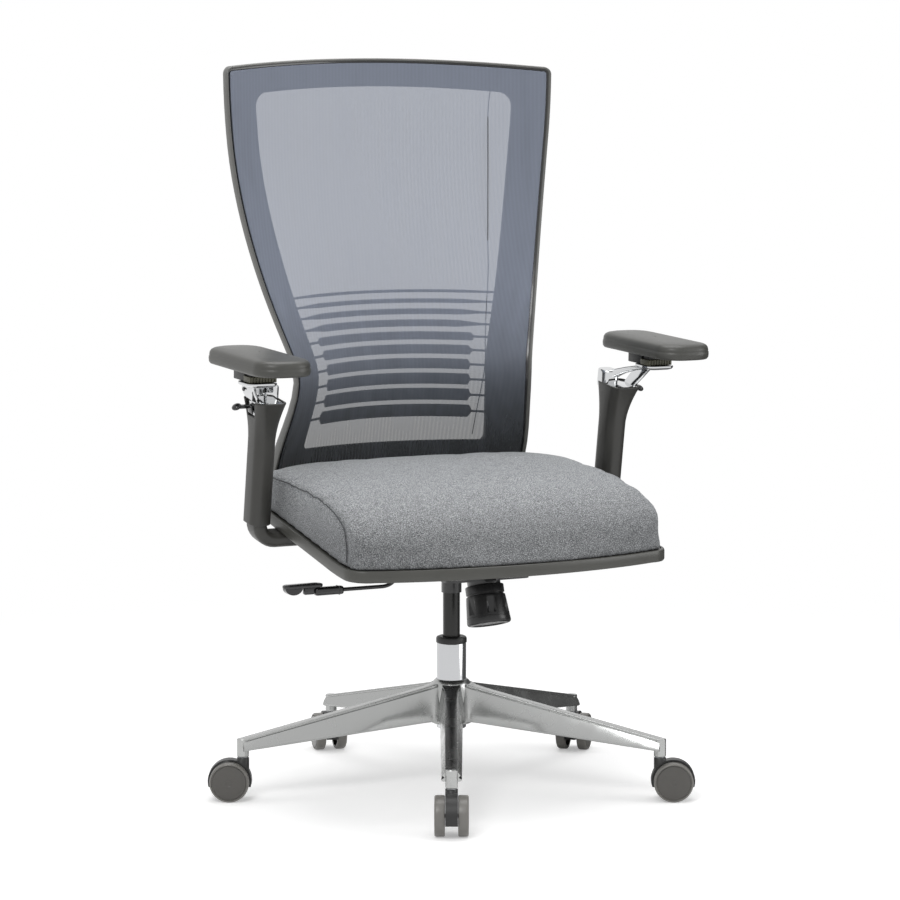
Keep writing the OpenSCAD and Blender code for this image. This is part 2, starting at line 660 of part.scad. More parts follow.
module arm_trigger(side) {
    reach = mouth_w / 2 + mouth_out + 11;
    color(plastic_black) arm_frame(side) difference() {
        union() {
            translate([trigger_x, 0, trigger_z]) rotate([90, 0, 0]) cylinder(r = 4.5, h = notch_w - 3, center = true);
            translate([trigger_x, 3 - notch_w / 2, trigger_z - 3]) cube([reach - trigger_x - 4, notch_w - 6, 6]);
            translate([reach - 4, 0, trigger_z]) rotate([90, 0, 0]) cylinder(r = 6, h = notch_w - 6, center = true);
        }
        translate([trigger_x, 0, trigger_z]) rotate([90, 0, 0]) cylinder(r = 2 + run_fit, h = notch_w, center = true);
    }
}
rail_half = 15;
rail_h = 5;
slide_travel = 30;
module pad_slide(side) {
    color(plastic_grey) pad_frame(side) difference() {
        union() {
            translate([0, 0, -plate_t]) linear_extrude(plate_t - gap) rounded_rect(62, 116, 12);
            translate([gap - rail_half, -45, -gap - 1]) cube([2 * rail_half - 2 * gap, 90, rail_h + 1]);
        }
        translate([0, 10, -plate_t - 1]) cylinder(r = turn_pin_r + run_fit, h = plate_t);
        for (k = [-4 : 4]) translate([k * 6 - 1, -59, -plate_t - 1]) cube([2, 12, 2.5]);
    }
}
module arm_pad(side) {
    color(plastic_black) pad_frame(side) difference() {
        linear_extrude(pad_t) rounded_rect(pad_w, pad_len, 36);
        translate([-rail_half, -45 - slide_travel - gap, -1]) cube([2 * rail_half, 90 + 2 * slide_travel + 2 * gap, rail_h + 1 + gap]);
    }
}

// ---- back ------------------------------------------------------------------------------------
corner_r = 12;
foot_r = 26;
window_r = 22;
window_low_r = 7;
layer_reach = 400;
foot_drop = 0.47;
foot_round = 35;
function ease(t, k) = sin(min(90, 90 * t * k)) * (1 - exp(-t / 0.07));
function back_half(z) = z > waist_z ? waist_w / 2 + (top_w - waist_w) / 2 * ease((z - waist_z) / (back_top - waist_z), 1)
    : waist_w / 2 + (foot_w - waist_w) / 2 * pow(sin(min(90, 90 * (waist_z - z) / 145)), 2);
function edge_y(z) = z > waist_z ? waist_y + (top_y - waist_y) * ease((z - waist_z) / (back_top - waist_z), 1.3)
    : waist_y + foot_drop * (sqrt(pow(waist_z - z, 2) + pow(foot_round, 2)) - foot_round);
function wrap(z) = wrap_top + (wrap_waist - wrap_top) * exp(-pow((z - waist_z) / 130, 2));
function surface_y(x, z) = edge_y(z) + wrap(z) * (1 - pow(x / back_half(z), 2));
function shell_t(z) = shell_t_top + (shell_t_foot - shell_t_top) * pow(max(0, min(1, (700 - z) / 250)), 2);
// Solid between two copies of the back's curved surface, moved back by near and by far
module back_layer(near, far, grow) {
    cols = 14;
    rows = 24;
    z0 = back_foot - 6;
    z1 = back_top + top_crown + 6;
    function at(i, j, d) = let (z = z0 + (z1 - z0) * j / rows, x = (back_half(z) + 5) * (2 * i / cols - 1))
        [x, surface_y(x, z) + d + (grow && d > near ? shell_t(z) - far : 0), z];
    n = (cols + 1) * (rows + 1);
    points = concat([for (j = [0 : rows], i = [0 : cols]) at(i, j, near)], [for (j = [0 : rows], i = [0 : cols]) at(i, j, far)]);
    function id(i, j) = j * (cols + 1) + i;
    front = [for (j = [0 : rows - 1], i = [0 : cols - 1]) each [[id(i, j), id(i + 1, j), id(i + 1, j + 1)], [id(i, j), id(i + 1, j + 1), id(i, j + 1)]]];
    rear = [for (f = front) [f[2] + n, f[1] + n, f[0] + n]];
    border = concat([for (i = [0 : cols - 1]) id(i, 0)], [for (j = [0 : rows - 1]) id(cols, j)],
        [for (i = [cols : -1 : 1]) id(i, rows)], [for (j = [rows : -1 : 1]) id(0, j)]);
    m = len(border);
    walls = [for (k = [0 : m - 1]) [border[(k + 1) % m], border[k], border[k] + n, border[(k + 1) % m] + n]];
    sides = [for (w = walls) each [[w[0], w[1], w[2]], [w[0], w[2], w[3]]]];
    polyhedron(points, [for (f = concat(front, rear, sides)) [f[2], f[1], f[0]]], convexity = 8);
}
// Outline in the XZ plane that follows the back's sides at an inset, with rounded corners
function outline(inset, foot, top, crown, r, low_r) = let (rows = 16, w = back_half(top - r) - inset,
    right = [for (k = [0 : rows]) let (z = foot + low_r + (top - foot - r - low_r) * k / rows) [back_half(z) - inset, z]],
    turn = [for (a = [15 : 15 : 75]) [w - r + r * cos(a), top - r + r * sin(a)]],
    low = [for (a = [-75 : 15 : -15]) [back_half(foot + low_r) - inset - low_r + low_r * cos(a), foot + low_r + low_r * sin(a)]],
    arch = [for (k = [0 : 10]) let (x = (w - r) * (1 - k / 5)) [x, top + crown * (1 - pow(x / (w - r), 2))]],
    flip = function (p) [for (k = [len(p) - 1 : -1 : 0]) [-p[k][0], p[k][1]]])
    concat(low, right, turn, arch, flip(turn), flip(right), flip(low));
module outer_area(inset) polygon(outline(inset, back_foot + inset, back_top - inset, top_crown, corner_r, foot_r));
module window_area(grow) polygon(outline(border_w - grow, window_foot - grow, back_top - border_top + grow, top_crown - 4, window_r, window_low_r));
module rib(z, t) {
    steps = 8;
    neck = 24;
    half = back_half(z) - border_w;
    function arc(w, s, h) = [for (k = [0 : steps]) let (x = s * w * (1 - 2 * k / steps)) [x, z + rib_arch * (1 - pow(x / half, 2)) + h]];
    polygon(concat(arc(half - neck, 1, t / 2), arc(half - neck, -1, -t / 2)));
    polygon(concat(arc(half + 3, 1, t * 0.22), arc(half + 3, -1, -t * 0.22)));
}
mesh_t = 1.4;
lip_w = 3.2;
trim_w = 2.6;
frame_inset = lip_w + trim_w + 2 * gap;
module lumbar_frame() {
    color(plastic_grey) intersection() {
        back_layer(0, frame_t, false);
        along(0, layer_reach) union() {
            difference() {
                outer_area(frame_inset);
                window_area(0);
            }
            for (k = [0 : rib_count - 1]) let (s = k / (rib_count - 1), q = pow(s, 1.25))
                rib(rib_low + (rib_high - rib_low) * (s + 0.3 * s * (1 - s)), rib_t_low + (rib_t_high - rib_t_low) * q);
        }
    }
}
module back_mesh() {
    color(fabric_grey) intersection() {
        back_layer(-mesh_t - gap, -gap, false);
        along(0, layer_reach) outer_area(frame_inset);
    }
}
module edge_trim() {
    color(plastic_black) intersection() {
        back_layer(1.5, frame_t, false);
        along(0, layer_reach) difference() {
            outer_area(lip_w + gap);
            outer_area(lip_w + gap + trim_w);
        }
    }
}
module back_shell() {
    color(plastic_grey) difference() {
        union() {
            intersection() {
                back_layer(frame_t + gap, frame_t + 30, true);
                along(0, layer_reach) difference() {
                    outer_area(0);
                    window_area(4);
                }
            }
            intersection() {
                back_layer(-1, frame_t + 4, false);
                along(0, layer_reach) difference() {
                    outer_area(0);
                    outer_area(lip_w);
                }
            }
        }
        at_back_bolts() translate([0, 0, -back_bolt_len - gap]) cylinder(r = arm_bolt_r + run_fit, h = 60);
    }
}
// Height of each pair of back bolts, and the rear face of the shell on the middle plane
back_bolt_z = [440, 482];
back_bolt_x = 24;
plate_foot = 408;
plate_top = 502;
plate_t_back = 14;
head_sink = 3;
function shell_rear(z) = surface_y(0, z) + shell_t(z);
function bolt_seat(z) = shell_rear(z) + 2 * gap + plate_t_back - head_sink;
module at_back_bolts() for (x = [-1, 1], z = back_bolt_z) translate([x * back_bolt_x, bolt_seat(z), z]) rotate([-90, 0, 0]) children();
module back_carrier() {
    face_z = [for (k = [0 : 4]) plate_foot + (plate_top - plate_foot) * k / 4];
    y = shell_rear(plate_foot);
    color(plastic_black) difference() {
        union() {
            across(carrier_w) polygon(concat(
                [[recline_y, pin_z - 9], [y - 62, pin_z - 9], [y - 28, pin_z + 2], [y + 2, pin_z + 24], [y + plate_t_back + 2, plate_foot - 14]],
                [for (z = face_z) [shell_rear(z) + 2 * gap + plate_t_back, z]],
                [for (k = [4 : -1 : 0]) [shell_rear(face_z[k]) + 2 * gap, face_z[k]]],
                [[y - 10, pin_z + 36], [y - 36, pin_z + 18], [y - 64, pin_z + 9], [recline_y, pin_z + 9]]));
            translate([0, recline_y, pin_z]) rotate([0, 90, 0]) cylinder(r = knuckle_r, h = carrier_w, center = true);
        }
        translate([0, recline_y, pin_z]) rotate([0, 90, 0]) cylinder(r = recline_r + run_fit, h = 2 * carrier_w, center = true);
        at_back_bolts() translate([0, 0, -40]) cylinder(r = arm_bolt_r + run_fit, h = 60);
        at_back_bolts() cylinder(r = 2 * arm_bolt_r + 1, h = 40);
    }
}
back_bolt_len = 24;
module back_bolts() {
    color(steel) at_back_bolts() {
        translate([0, 0, -back_bolt_len]) cylinder(r = arm_bolt_r, h = back_bolt_len + 1);
        cylinder(r = 2 * arm_bolt_r, h = 4);
    }
}

base_star();
column_tube();
column_cap();
column_piston();
valve_button();
caster_body(0);  // caster_1_body
caster_pins(0);  // caster_1_pins
caster_wheel(0, -1);  // caster_1_left_wheel
caster_wheel(0, 1);  // caster_1_right_wheel
caster_body(1);  // caster_2_body
caster_pins(1);  // caster_2_pins
caster_wheel(1, -1);  // caster_2_left_wheel
caster_wheel(1, 1);  // caster_2_right_wheel
caster_body(2);  // caster_3_body
caster_pins(2);  // caster_3_pins
caster_wheel(2, -1);  // caster_3_left_wheel
caster_wheel(2, 1);  // caster_3_right_wheel
caster_body(3);  // caster_4_body
caster_pins(3);  // caster_4_pins
caster_wheel(3, -1);  // caster_4_left_wheel
caster_wheel(3, 1);  // caster_4_right_wheel
caster_body(4);  // caster_5_body
caster_pins(4);  // caster_5_pins
caster_wheel(4, -1);  // caster_5_left_wheel
caster_wheel(4, 1);  // caster_5_right_wheel
mechanism_housing();
recline_pin();
seat_tilt_pin();
seat_carrier();
tension_knob();
tension_rod();
tension_spring();
lift_lever();
lever_grip();
lock_paddle();
seat_pan();
seat_cushion();
seat_bolts();
arm_bar(-1);  // left_arm_bar
arm_post(-1);  // left_arm_post
arm_bracket(-1);  // left_arm_bracket
arm_trigger(-1);  // left_arm_trigger
pad_slide(-1);  // left_pad_slide
arm_pad(-1);  // left_arm_pad
arm_bar(1);  // right_arm_bar
arm_post(1);  // right_arm_post
arm_bracket(1);  // right_arm_bracket
arm_trigger(1);  // right_arm_trigger
pad_slide(1);  // right_pad_slide
arm_pad(1);  // right_arm_pad
arm_bolts();
back_carrier();
back_shell();
lumbar_frame();
back_mesh();
edge_trim();
back_bolts();
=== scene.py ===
# %% [markdown]
# # A mesh-back task chair
# The frame comes in first. It is the measured model of the chair, one object for each separate part, each riding on
# the body that moves it. Everything below only changes how the chair looks, so each new piece is drawn in the same
# place as the part it stands for.

# %% Load the frame
import math
import bmesh
import bpy
import numpy as np
from mathutils import Matrix, Vector
from mathutils.bvhtree import BVHTree


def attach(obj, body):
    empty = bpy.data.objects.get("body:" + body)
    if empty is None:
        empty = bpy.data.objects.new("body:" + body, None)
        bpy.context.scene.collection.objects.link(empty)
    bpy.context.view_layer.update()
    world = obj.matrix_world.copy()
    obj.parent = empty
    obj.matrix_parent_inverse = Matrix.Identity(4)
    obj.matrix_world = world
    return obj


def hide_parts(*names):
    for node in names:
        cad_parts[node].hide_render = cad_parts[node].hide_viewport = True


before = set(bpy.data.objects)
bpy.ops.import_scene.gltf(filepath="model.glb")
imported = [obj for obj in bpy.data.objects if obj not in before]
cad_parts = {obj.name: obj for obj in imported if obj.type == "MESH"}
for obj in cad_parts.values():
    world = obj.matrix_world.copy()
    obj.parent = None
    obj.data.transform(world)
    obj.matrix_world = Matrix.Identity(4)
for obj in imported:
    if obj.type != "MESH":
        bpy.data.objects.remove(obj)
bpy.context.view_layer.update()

# %% [markdown]
# ## Camera
# A chair catalogue uses a long lens from a few metres off, a little above the seat, so that upright lines stay
# nearly parallel. The camera stands to the front left and looks slightly down. It is set before anything is modelled.

# %% Place the camera
camera = bpy.data.objects.new("camera", bpy.data.cameras.new("camera"))
bpy.context.collection.objects.link(camera)
camera.data.lens = 134.5
camera.data.clip_end = 60
camera.location = (-2.3174, -4.5431, 1.0796)
pitch = math.radians(6.2545)
sight = Vector((0.4540 * math.cos(pitch), 0.8910 * math.cos(pitch), -math.sin(pitch)))
camera.rotation_euler = sight.to_track_quat("-Z", "Y").to_euler()
bpy.context.scene.camera = camera
print("camera distance:", round(camera.location.length, 2), "m")

# %% [markdown]
# ## Small tools for the materials
# A colour picked from a swatch is an sRGB value, while Blender's shaders add up light and so want linear values.
# One function turns one into the other. Another adds a node, sets what it is given and links its inputs. The rest
# are short names for the nodes that every material needs: noise, a change of range, a sum, a tint and a bump.

# %% Colour and node helpers
def linear(swatch):
    """The linear RGBA colour of an sRGB hex value such as #8C9096."""
    steps = [int(swatch[k:k + 2], 16) / 255 for k in (1, 3, 5)]
    return [s / 12.92 if s <= 0.04045 else ((s + 0.055) / 1.055) ** 2.4 for s in steps] + [1.0]


def add_node(tree, kind, inputs=None, **settings):
    """A new node. An input is given by its name or number, as a value or as the output that feeds it."""
    made = tree.nodes.new(kind)
    for name, value in settings.items():
        setattr(made, name, value)
    for name, value in (inputs or {}).items():
        if isinstance(value, bpy.types.NodeSocket):
            tree.links.new(value, made.inputs[name])
        else:
            made.inputs[name].default_value = value
    return made


def new_finish(name, **shader_inputs):
    """A material with its node tree, its Principled shader and its object coordinates in metres."""
    finish = bpy.data.materials.new(name)
    finish.use_nodes = True
    tree = finish.node_tree
    shader = tree.nodes["Principled BSDF"]
    for socket, value in shader_inputs.items():
        shader.inputs[socket.replace("_", " ")].default_value = value
    place = add_node(tree, "ShaderNodeTexCoord").outputs["Object"]
    return finish, tree, shader, place


def noise(tree, place, scale, detail=2.0, **inputs):
    inputs.update(Vector=place, Scale=scale, Detail=detail)
    return add_node(tree, "ShaderNodeTexNoise", inputs).outputs["Fac"]


def streaks(tree, place, per_metre, **inputs):
    """Noise drawn out along the axes that have a low number of features a metre."""
    stretched = add_node(tree, "ShaderNodeMapping", {"Vector": place, "Scale": per_metre}).outputs["Vector"]
    return noise(tree, stretched, 1.0, **inputs)


def remap(tree, value, to_low, to_high, from_low=0.0, from_high=1.0, curve="LINEAR"):
    return add_node(tree, "ShaderNodeMapRange", {
        "Value": value, "From Min": from_low, "From Max": from_high, "To Min": to_low, "To Max": to_high},
        interpolation_type=curve).outputs["Result"]


def combine(tree, operation, first, second):
    return add_node(tree, "ShaderNodeMath", {0: first, 1: second}, operation=operation).outputs["Value"]


def tint(tree, shader, factor, low, high):
    """Colours shader from one swatch to another as factor goes from 0 to 1."""
    ramp = add_node(tree, "ShaderNodeValToRGB", {"Fac": factor})
    ramp.color_ramp.elements[0].color = linear(low)
    ramp.color_ramp.elements[1].color = linear(high)
    tree.links.new(ramp.outputs["Color"], shader.inputs["Base Color"])


def add_relief(tree, shader, height, strength, distance):
    """Tilts shader's surface as if height were raised by distance metres."""
    bump = add_node(tree, "ShaderNodeBump", {"Height": height, "Strength": strength, "Distance": distance})
    tree.links.new(bump.outputs["Normal"], shader.inputs["Normal"])


print("white is", linear("#FFFFFF")[:3])

# %% [markdown]
# ## Moulded plastics
# The rim, the arm posts and the back shell are moulded nylon or polypropylene. A mould is spark eroded, which leaves
# a grain of about half a millimetre, and the surface is satin: a broad soft highlight with no mirror in it. So the
# roughness is near 0.4 and a fine noise moves both the roughness and a shallow bump. A slow noise of a few
# centimetres gives the faint clouding that handling leaves.

# %% Satin and gloss plastics
def moulded(name, dark, light, roughness, grain=0.0006, bump=0.06, coat=0.0):
    """Moulded plastic: grain is the size of its texture in metres."""
    finish, tree, shader, place = new_finish(name, IOR=1.5, Coat_Weight=coat)
    tint(tree, shader, noise(tree, place, 14.0, 3.0), dark, light)
    texture = noise(tree, place, 1 / grain)
    tree.links.new(remap(tree, texture, roughness - 0.06, roughness + 0.06), shader.inputs["Roughness"])
    add_relief(tree, shader, texture, bump, 0.0004)
    return finish


black_nylon = moulded("black_moulded_nylon", "#171717", "#1F1F1F", 0.42)
satin_black = moulded("black_satin_abs", "#141415", "#1B1B1C", 0.3, bump=0.03)
gloss_black = moulded("black_glossy_abs", "#131315", "#1A1A1C", 0.2, bump=0.02, coat=0.3)
rim_plastic = moulded("warm_grey_polypropylene", "#3D3D39", "#494945", 0.36)
post_plastic = moulded("charcoal_glass_filled_nylon", "#2C2C29", "#383734", 0.38)
shell_plastic = moulded("grey_shell_nylon", "#565654", "#666663", 0.4)
slide_plastic = moulded("olive_grey_ribbed_nylon", "#4C4B3D", "#5C5A49", 0.45)
print("plastics:", [m.name for m in bpy.data.materials if m.use_nodes])

# %% [markdown]
# ## Castor tyres and covers
# The wheels are nylon with a hard polyurethane tyre. New ones shine a little, so the tyre is a light warm grey with
# some gloss, and the pressed cover on the wheel's face is a darker grey.

# %% Wheel finishes
tyre_grey = moulded("polyurethane_tyre", "#6E6C68", "#7C7A76", 0.34, grain=0.001, bump=0.05)
cover_grey = moulded("nylon_wheel_cover", "#4A4845", "#585652", 0.3, grain=0.001, bump=0.03)
print("wheels:", tyre_grey.name, cover_grey.name)

# %% [markdown]
# ## Metals
# The star is die-cast aluminium, polished and lacquered. The arm brackets and the gas tube are chromed. Both are
# mirrors with a little haze, so what makes them look like metal is what they reflect. Metals keep the default IOR.
# Polishing leaves long soft waves, a centimetre or so apart, and the lacquer softens the highlight: a noise of that
# size tilts the surface very slightly and changes its roughness.

# %% Aluminium, chrome, steel and lacquered tube
def polished(name, colour, roughness, wave=0.02, wobble=0.15):
    """Polished metal: wave is the spacing of the polisher's ripples in metres, wobble how deep they show."""
    finish, tree, shader, place = new_finish(name, Metallic=1.0, Base_Color=linear(colour))
    ripple = noise(tree, place, 1 / wave)
    tree.links.new(remap(tree, ripple, roughness * 0.6, roughness * 1.5), shader.inputs["Roughness"])
    add_relief(tree, shader, ripple, wobble, 0.0006)
    return finish


aluminium = polished("polished_die_cast_aluminium", "#A9AAA9", 0.24, wave=0.03, wobble=0.35)
chrome = polished("chromium_plate", "#D2D3D4", 0.07, wave=0.05, wobble=0.1)
tube_chrome = polished("chromed_gas_tube", "#C9CACC", 0.14, wave=0.2, wobble=0.02)
bright_steel = polished("zinc_plated_steel", "#B4B6B8", 0.32, wave=0.006, wobble=0.1)
piston_steel, tree, shader, place = new_finish(
    "black_nitrided_piston_rod", Metallic=0.5, Base_Color=linear("#2F2F2E"), Roughness=0.28)
add_relief(tree, shader, streaks(tree, place, (900.0, 900.0, 4.0)), 0.05, 0.0003)
black_enamel = moulded("black_enamelled_steel", "#1D1D1E", "#262627", 0.3, grain=0.004, bump=0.03, coat=0.2)
print("metals:", aluminium.name, chrome.name, piston_steel.name)

# %% [markdown]
# ## Arm pads
# The pads are self-skinning polyurethane foam: soft, slightly glossy, with a leather-like grain of about 1 mm pressed
# into the skin. A Voronoi pattern of that size gives the grain, kept shallow because the skin is nearly smooth.

# %% Soft pad finish
pad_skin, tree, shader, place = new_finish("polyurethane_pad_skin", IOR=1.48)
grain = add_node(tree, "ShaderNodeTexVoronoi", {"Vector": place, "Scale": 900.0}, feature="SMOOTH_F1")
grain = grain.outputs["Distance"]
tint(tree, shader, noise(tree, place, 18.0, 3.0), "#3B3B38", "#4A4A46")
tree.links.new(remap(tree, grain, 0.34, 0.46), shader.inputs["Roughness"])
add_relief(tree, shader, grain, 0.12, 0.0003)
print("pad finish:", pad_skin.name)

# %% [markdown]
# ## Seat cloth
# The cover is a melange wool blend. Its yarn is spun from light and dark fibres, so the cloth is a mid grey flecked
# at the size of the yarn, about 1.5 mm, with cloudier patches where the mix varies over a centimetre or two. Three
# layers make it: a plain weave of crossed waves for the bump, a noise stretched along the weft for the flecks, and
# a slow noise for the patches. Fine fibres stand off the surface and catch the light at the edge, which is what
# sheen is for. The yarn is drawn a little coarser than the real one, so that it still shows from across the room.
# Where the cloth turns over the front and sides its colour falls off with height: painted shade, for the light that
# reaches the front roll and the sides less.

# %% Melange fabric
# Heights over which the painted shade on the front roll and sides fades out.
PAINTED_SHADE_LOW_Z, PAINTED_SHADE_HIGH_Z = 0.40, 0.482
seat_cloth, tree, shader, place = new_finish(
    "melange_wool_upholstery", Roughness=0.92, Sheen_Weight=0.25, Sheen_Roughness=0.5, IOR=1.4)
shader.inputs["Sheen Tint"].default_value = linear("#C9CDD3")
fleck = streaks(tree, place, (600.0, 760.0, 760.0), detail=3.0, Roughness=0.65)
patch = combine(tree, "MULTIPLY", noise(tree, place, 90.0), 0.06)
flecks = remap(tree, combine(tree, "ADD", fleck, patch), 0.0, 1.0, 0.38, 0.68)
tone = add_node(tree, "ShaderNodeValToRGB", {"Fac": flecks})
tone.color_ramp.elements[0].color = linear("#545658")
tone.color_ramp.elements[1].color = linear("#D0D2D4")
tone.color_ramp.elements.new(0.5).color = linear("#8F9193")
# Painted shade: the cloth's colour is multiplied down to 0.56 below the lower height, and left full above the upper
# one.
rise = add_node(tree, "ShaderNodeSeparateXYZ", {0: place}).outputs["Z"]
painted_shade = remap(tree, rise, 0.56, 1.0, PAINTED_SHADE_LOW_Z, PAINTED_SHADE_HIGH_Z, "SMOOTHSTEP")
shade = add_node(tree, "ShaderNodeMix", {0: painted_shade, 6: (0, 0, 0, 1), 7: tone.outputs["Color"]}, data_type="RGBA")
tree.links.new(shade.outputs[2], shader.inputs["Base Color"])
weft, warp = (add_node(tree, "ShaderNodeTexWave", {"Vector": place, "Scale": 105.0, "Distortion": 0.6},
                       bands_direction=way).outputs["Fac"] for way in ("X", "DIAGONAL"))
add_relief(tree, shader, combine(tree, "ADD", combine(tree, "MULTIPLY", weft, warp), fleck), 0.5, 0.0006)
seam_thread = moulded("grey_polyester_seam_thread", "#3E4042", "#4C4E50", 0.7, grain=0.001, bump=0.2)
print("seat finish:", seat_cloth.name)

# %% [markdown]
# ## Back net
# The back is an elastic net of polyester yarn, stretched over its frame. Each hole is a fraction of a millimetre, so
# from a metre off the net reads as a grey veil: about four fifths thread and one fifth hole. The open part is left to
# the shader's Alpha, because a hole is a hole from both sides. The net's colour goes by height from blue grey at the
# shoulders to nearly black below the waist: painted light above and painted shade below, where less light falls.
# Upright ribs of yarn 3 mm apart, coarser than the real ones, and a slow noise for the change of stretch move the
# veil a little, no more than a few hundredths.

# %% Stretched net
net, tree, shader, place = new_finish("elastic_polyester_net", Roughness=0.75, IOR=1.45, Sheen_Weight=0.1)
net.surface_render_method = "BLENDED"
# Below the first height the net's painted shade is deepest, and above the second its painted light is full.
NET_PAINTED_SHADE_Z, NET_PAINTED_LIGHT_Z = 0.48, 0.78


def painted_shade_by_height(tree, place, wander=0.0):
    """0 in the deepest painted shade below the waist, 1 in the painted light of the shoulders, moved up and down a
    little by a streaky noise.
    """
    height = add_node(tree, "ShaderNodeSeparateXYZ", {0: place}).outputs["Z"]
    rise = remap(tree, height, 0.0, 1.0, NET_PAINTED_SHADE_Z, NET_PAINTED_LIGHT_Z, "SMOOTHSTEP")
    streak = streaks(tree, place, (60.0, 60.0, 7.0))
    return combine(tree, "ADD", rise, remap(tree, streak, -wander, wander)), streak


rise, stretch = painted_shade_by_height(tree, place, 0.12)
# Painted light and shade: the net's colour runs from near black below the waist to blue grey at the shoulders.
tint(tree, shader, rise, "#3D4043", "#828998")
rib = add_node(tree, "ShaderNodeTexWave", {"Vector": place, "Scale": 52.0, "Distortion": 0.4}, bands_direction="X")
rib = rib.outputs["Fac"]
cover = remap(tree, combine(tree, "ADD", rib, stretch), 0.76, 0.82, 0.2, 1.7)
tree.links.new(cover, shader.inputs["Alpha"])
add_relief(tree, shader, rib, 0.05, 0.0003)
print("back finish:", net.name)

# %% Inner frame, ribs and the net's join
# The inner frame and the ribs take the same painted shade by height as the net: darker below the waist, lighter at
# the shoulders.
inner_plastic, tree, shader, place = new_finish("charcoal_inner_frame_nylon", Roughness=0.5, IOR=1.5)
tint(tree, shader, painted_shade_by_height(tree, place, 0.1)[0], "#1B1C1E", "#45484D")
rib_plastic, tree, shader, place = new_finish("grey_rib_polypropylene", Roughness=0.45, IOR=1.49)
tint(tree, shader, painted_shade_by_height(tree, place, 0.1)[0], "#303338", "#666A72")
join_tape = moulded("dark_polyester_join_tape", "#2E3136", "#3A3E44", 0.7, grain=0.001, bump=0.1)
print("inner finishes:", inner_plastic.name, rib_plastic.name, join_tape.name)

# %% [markdown]
# ## Small tools for the shapes
# Shapes are drawn in millimetres, as on a drawing, and scaled once when the piece is finished. A loft starts as a
# ring of vertices, and each extrusion of its edges is placed on the next section, so the quads always run cleanly
# from one section to the next. A lathe spins a profile round an axis. Every piece ends in the same way: doubles are
# merged, normals recalculated, edges sharper than a limit stay sharp, and the piece rides on its body.

# %% Modelling helpers
def finish_piece(name, bm, body, looks, replaces=(), sharp=40, place=None, merge=0.01):
    """Makes the mesh in bm, drawn in millimetres, a finished piece that rides on body."""
    if place is not None:
        bmesh.ops.transform(bm, matrix=place, verts=bm.verts)
    bmesh.ops.remove_doubles(bm, verts=bm.verts, dist=merge)
    bmesh.ops.dissolve_degenerate(bm, edges=bm.edges, dist=1e-4)
    bmesh.ops.recalc_face_normals(bm, faces=bm.faces)
    bmesh.ops.scale(bm, vec=(0.001,) * 3, verts=bm.verts)
    mesh = bpy.data.meshes.new(name)
    bm.to_mesh(mesh)
    bm.free()
    mesh.shade_smooth()
    mesh.set_sharp_from_angle(angle=math.radians(sharp))
    piece = bpy.data.objects.new(name, mesh)
    bpy.context.collection.objects.link(piece)
    for look in looks if isinstance(looks, (list, tuple)) else [looks]:
        mesh.materials.append(look)
    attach(piece, body)
    if replaces:
        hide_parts(*replaces)
    return piece


def loft(bm, sections, caps=False, ring_of_sections=False):
    """Extrudes a ring of edges through the sections. Each section is a list of as many points."""
    count = len(sections[0])
    made = bmesh.ops.create_circle(bm, segments=count)["verts"]
    ring, left = [made[0]], set(made[1:])
    while left:
        ring.append(next(e.other_vert(ring[-1]) for e in ring[-1].link_edges if e.other_vert(ring[-1]) in left))
        left.remove(ring[-1])
    for vert, point in zip(ring, sections[0]):
        vert.co = point
    first = ring
    rows = list(sections[1:]) + ([sections[0]] if ring_of_sections else [])
    for section in rows:
        edges = [bm.edges.get((ring[k - 1], ring[k])) for k in range(count)]
        grown = {g for g in bmesh.ops.extrude_edge_only(bm, edges=edges)["geom"] if isinstance(g, bmesh.types.BMVert)}
        ring = [next(e.other_vert(v) for e in v.link_edges if e.other_vert(v) in grown) for v in ring]
        for vert, point in zip(ring, section):
            vert.co = point
    if caps:
        for loop in (first, ring):
            bmesh.ops.contextual_create(bm, geom=loop)
    return ring


def add_part(bm, part, place):
    """Puts what was drawn in part into bm at its place, and frees part."""
    bmesh.ops.transform(part, matrix=place, verts=part.verts)
    spare = bpy.data.meshes.new("spare")
    part.to_mesh(spare)
    part.free()
    bm.from_mesh(spare)
    bpy.data.meshes.remove(spare)


def lathe(bm, profile, steps=64, place=Matrix.Identity(4)):
    """Spins a profile of (radius, height) points a full turn round the Z axis, then puts it in its place."""
    part = bmesh.new()
    verts = [part.verts.new((r, 0, h)) for r, h in profile]
    edges = [part.edges.new(pair) for pair in zip(verts, verts[1:])]
    bmesh.ops.spin(part, geom=verts + edges, cent=(0, 0, 0), axis=(0, 0, 1), angle=2 * math.pi, steps=steps,
                   use_merge=True)
    add_part(bm, part, place)


def rounded_rect(w, d, r, arc=6):
    """Points of a rounded rectangle centred on the origin, anticlockwise from its right side."""
    points = []
    for quarter, (sx, sy) in enumerate(((1, 1), (-1, 1), (-1, -1), (1, -1))):
        for k in range(arc + 1):
            angle = math.radians(90 * (quarter + k / arc))
            points.append((sx * (w / 2 - r) + r * math.cos(angle), sy * (d / 2 - r) + r * math.sin(angle)))
    return points


def turn(axis, degrees):
    return Matrix.Rotation(math.radians(degrees), 4, axis)


def shift(x, y, z):
    return Matrix.Translation((x, y, z))


def block(bm, size, centre, round_by=0.0, place=None):
    """A box with its edges bevelled, added to bm."""
    made = bmesh.ops.create_cube(bm, size=1)["verts"]
    bmesh.ops.scale(bm, vec=size, verts=made)
    bmesh.ops.translate(bm, vec=centre, verts=made)
    if round_by:
        edges = list({e for v in made for e in v.link_edges})
        made = bmesh.ops.bevel(bm, geom=edges, offset=round_by, affect="EDGES", segments=3, profile=0.5,
                               material=-1, clamp_overlap=True)["verts"]
    if place is not None:
        bmesh.ops.transform(bm, matrix=place, verts=made)


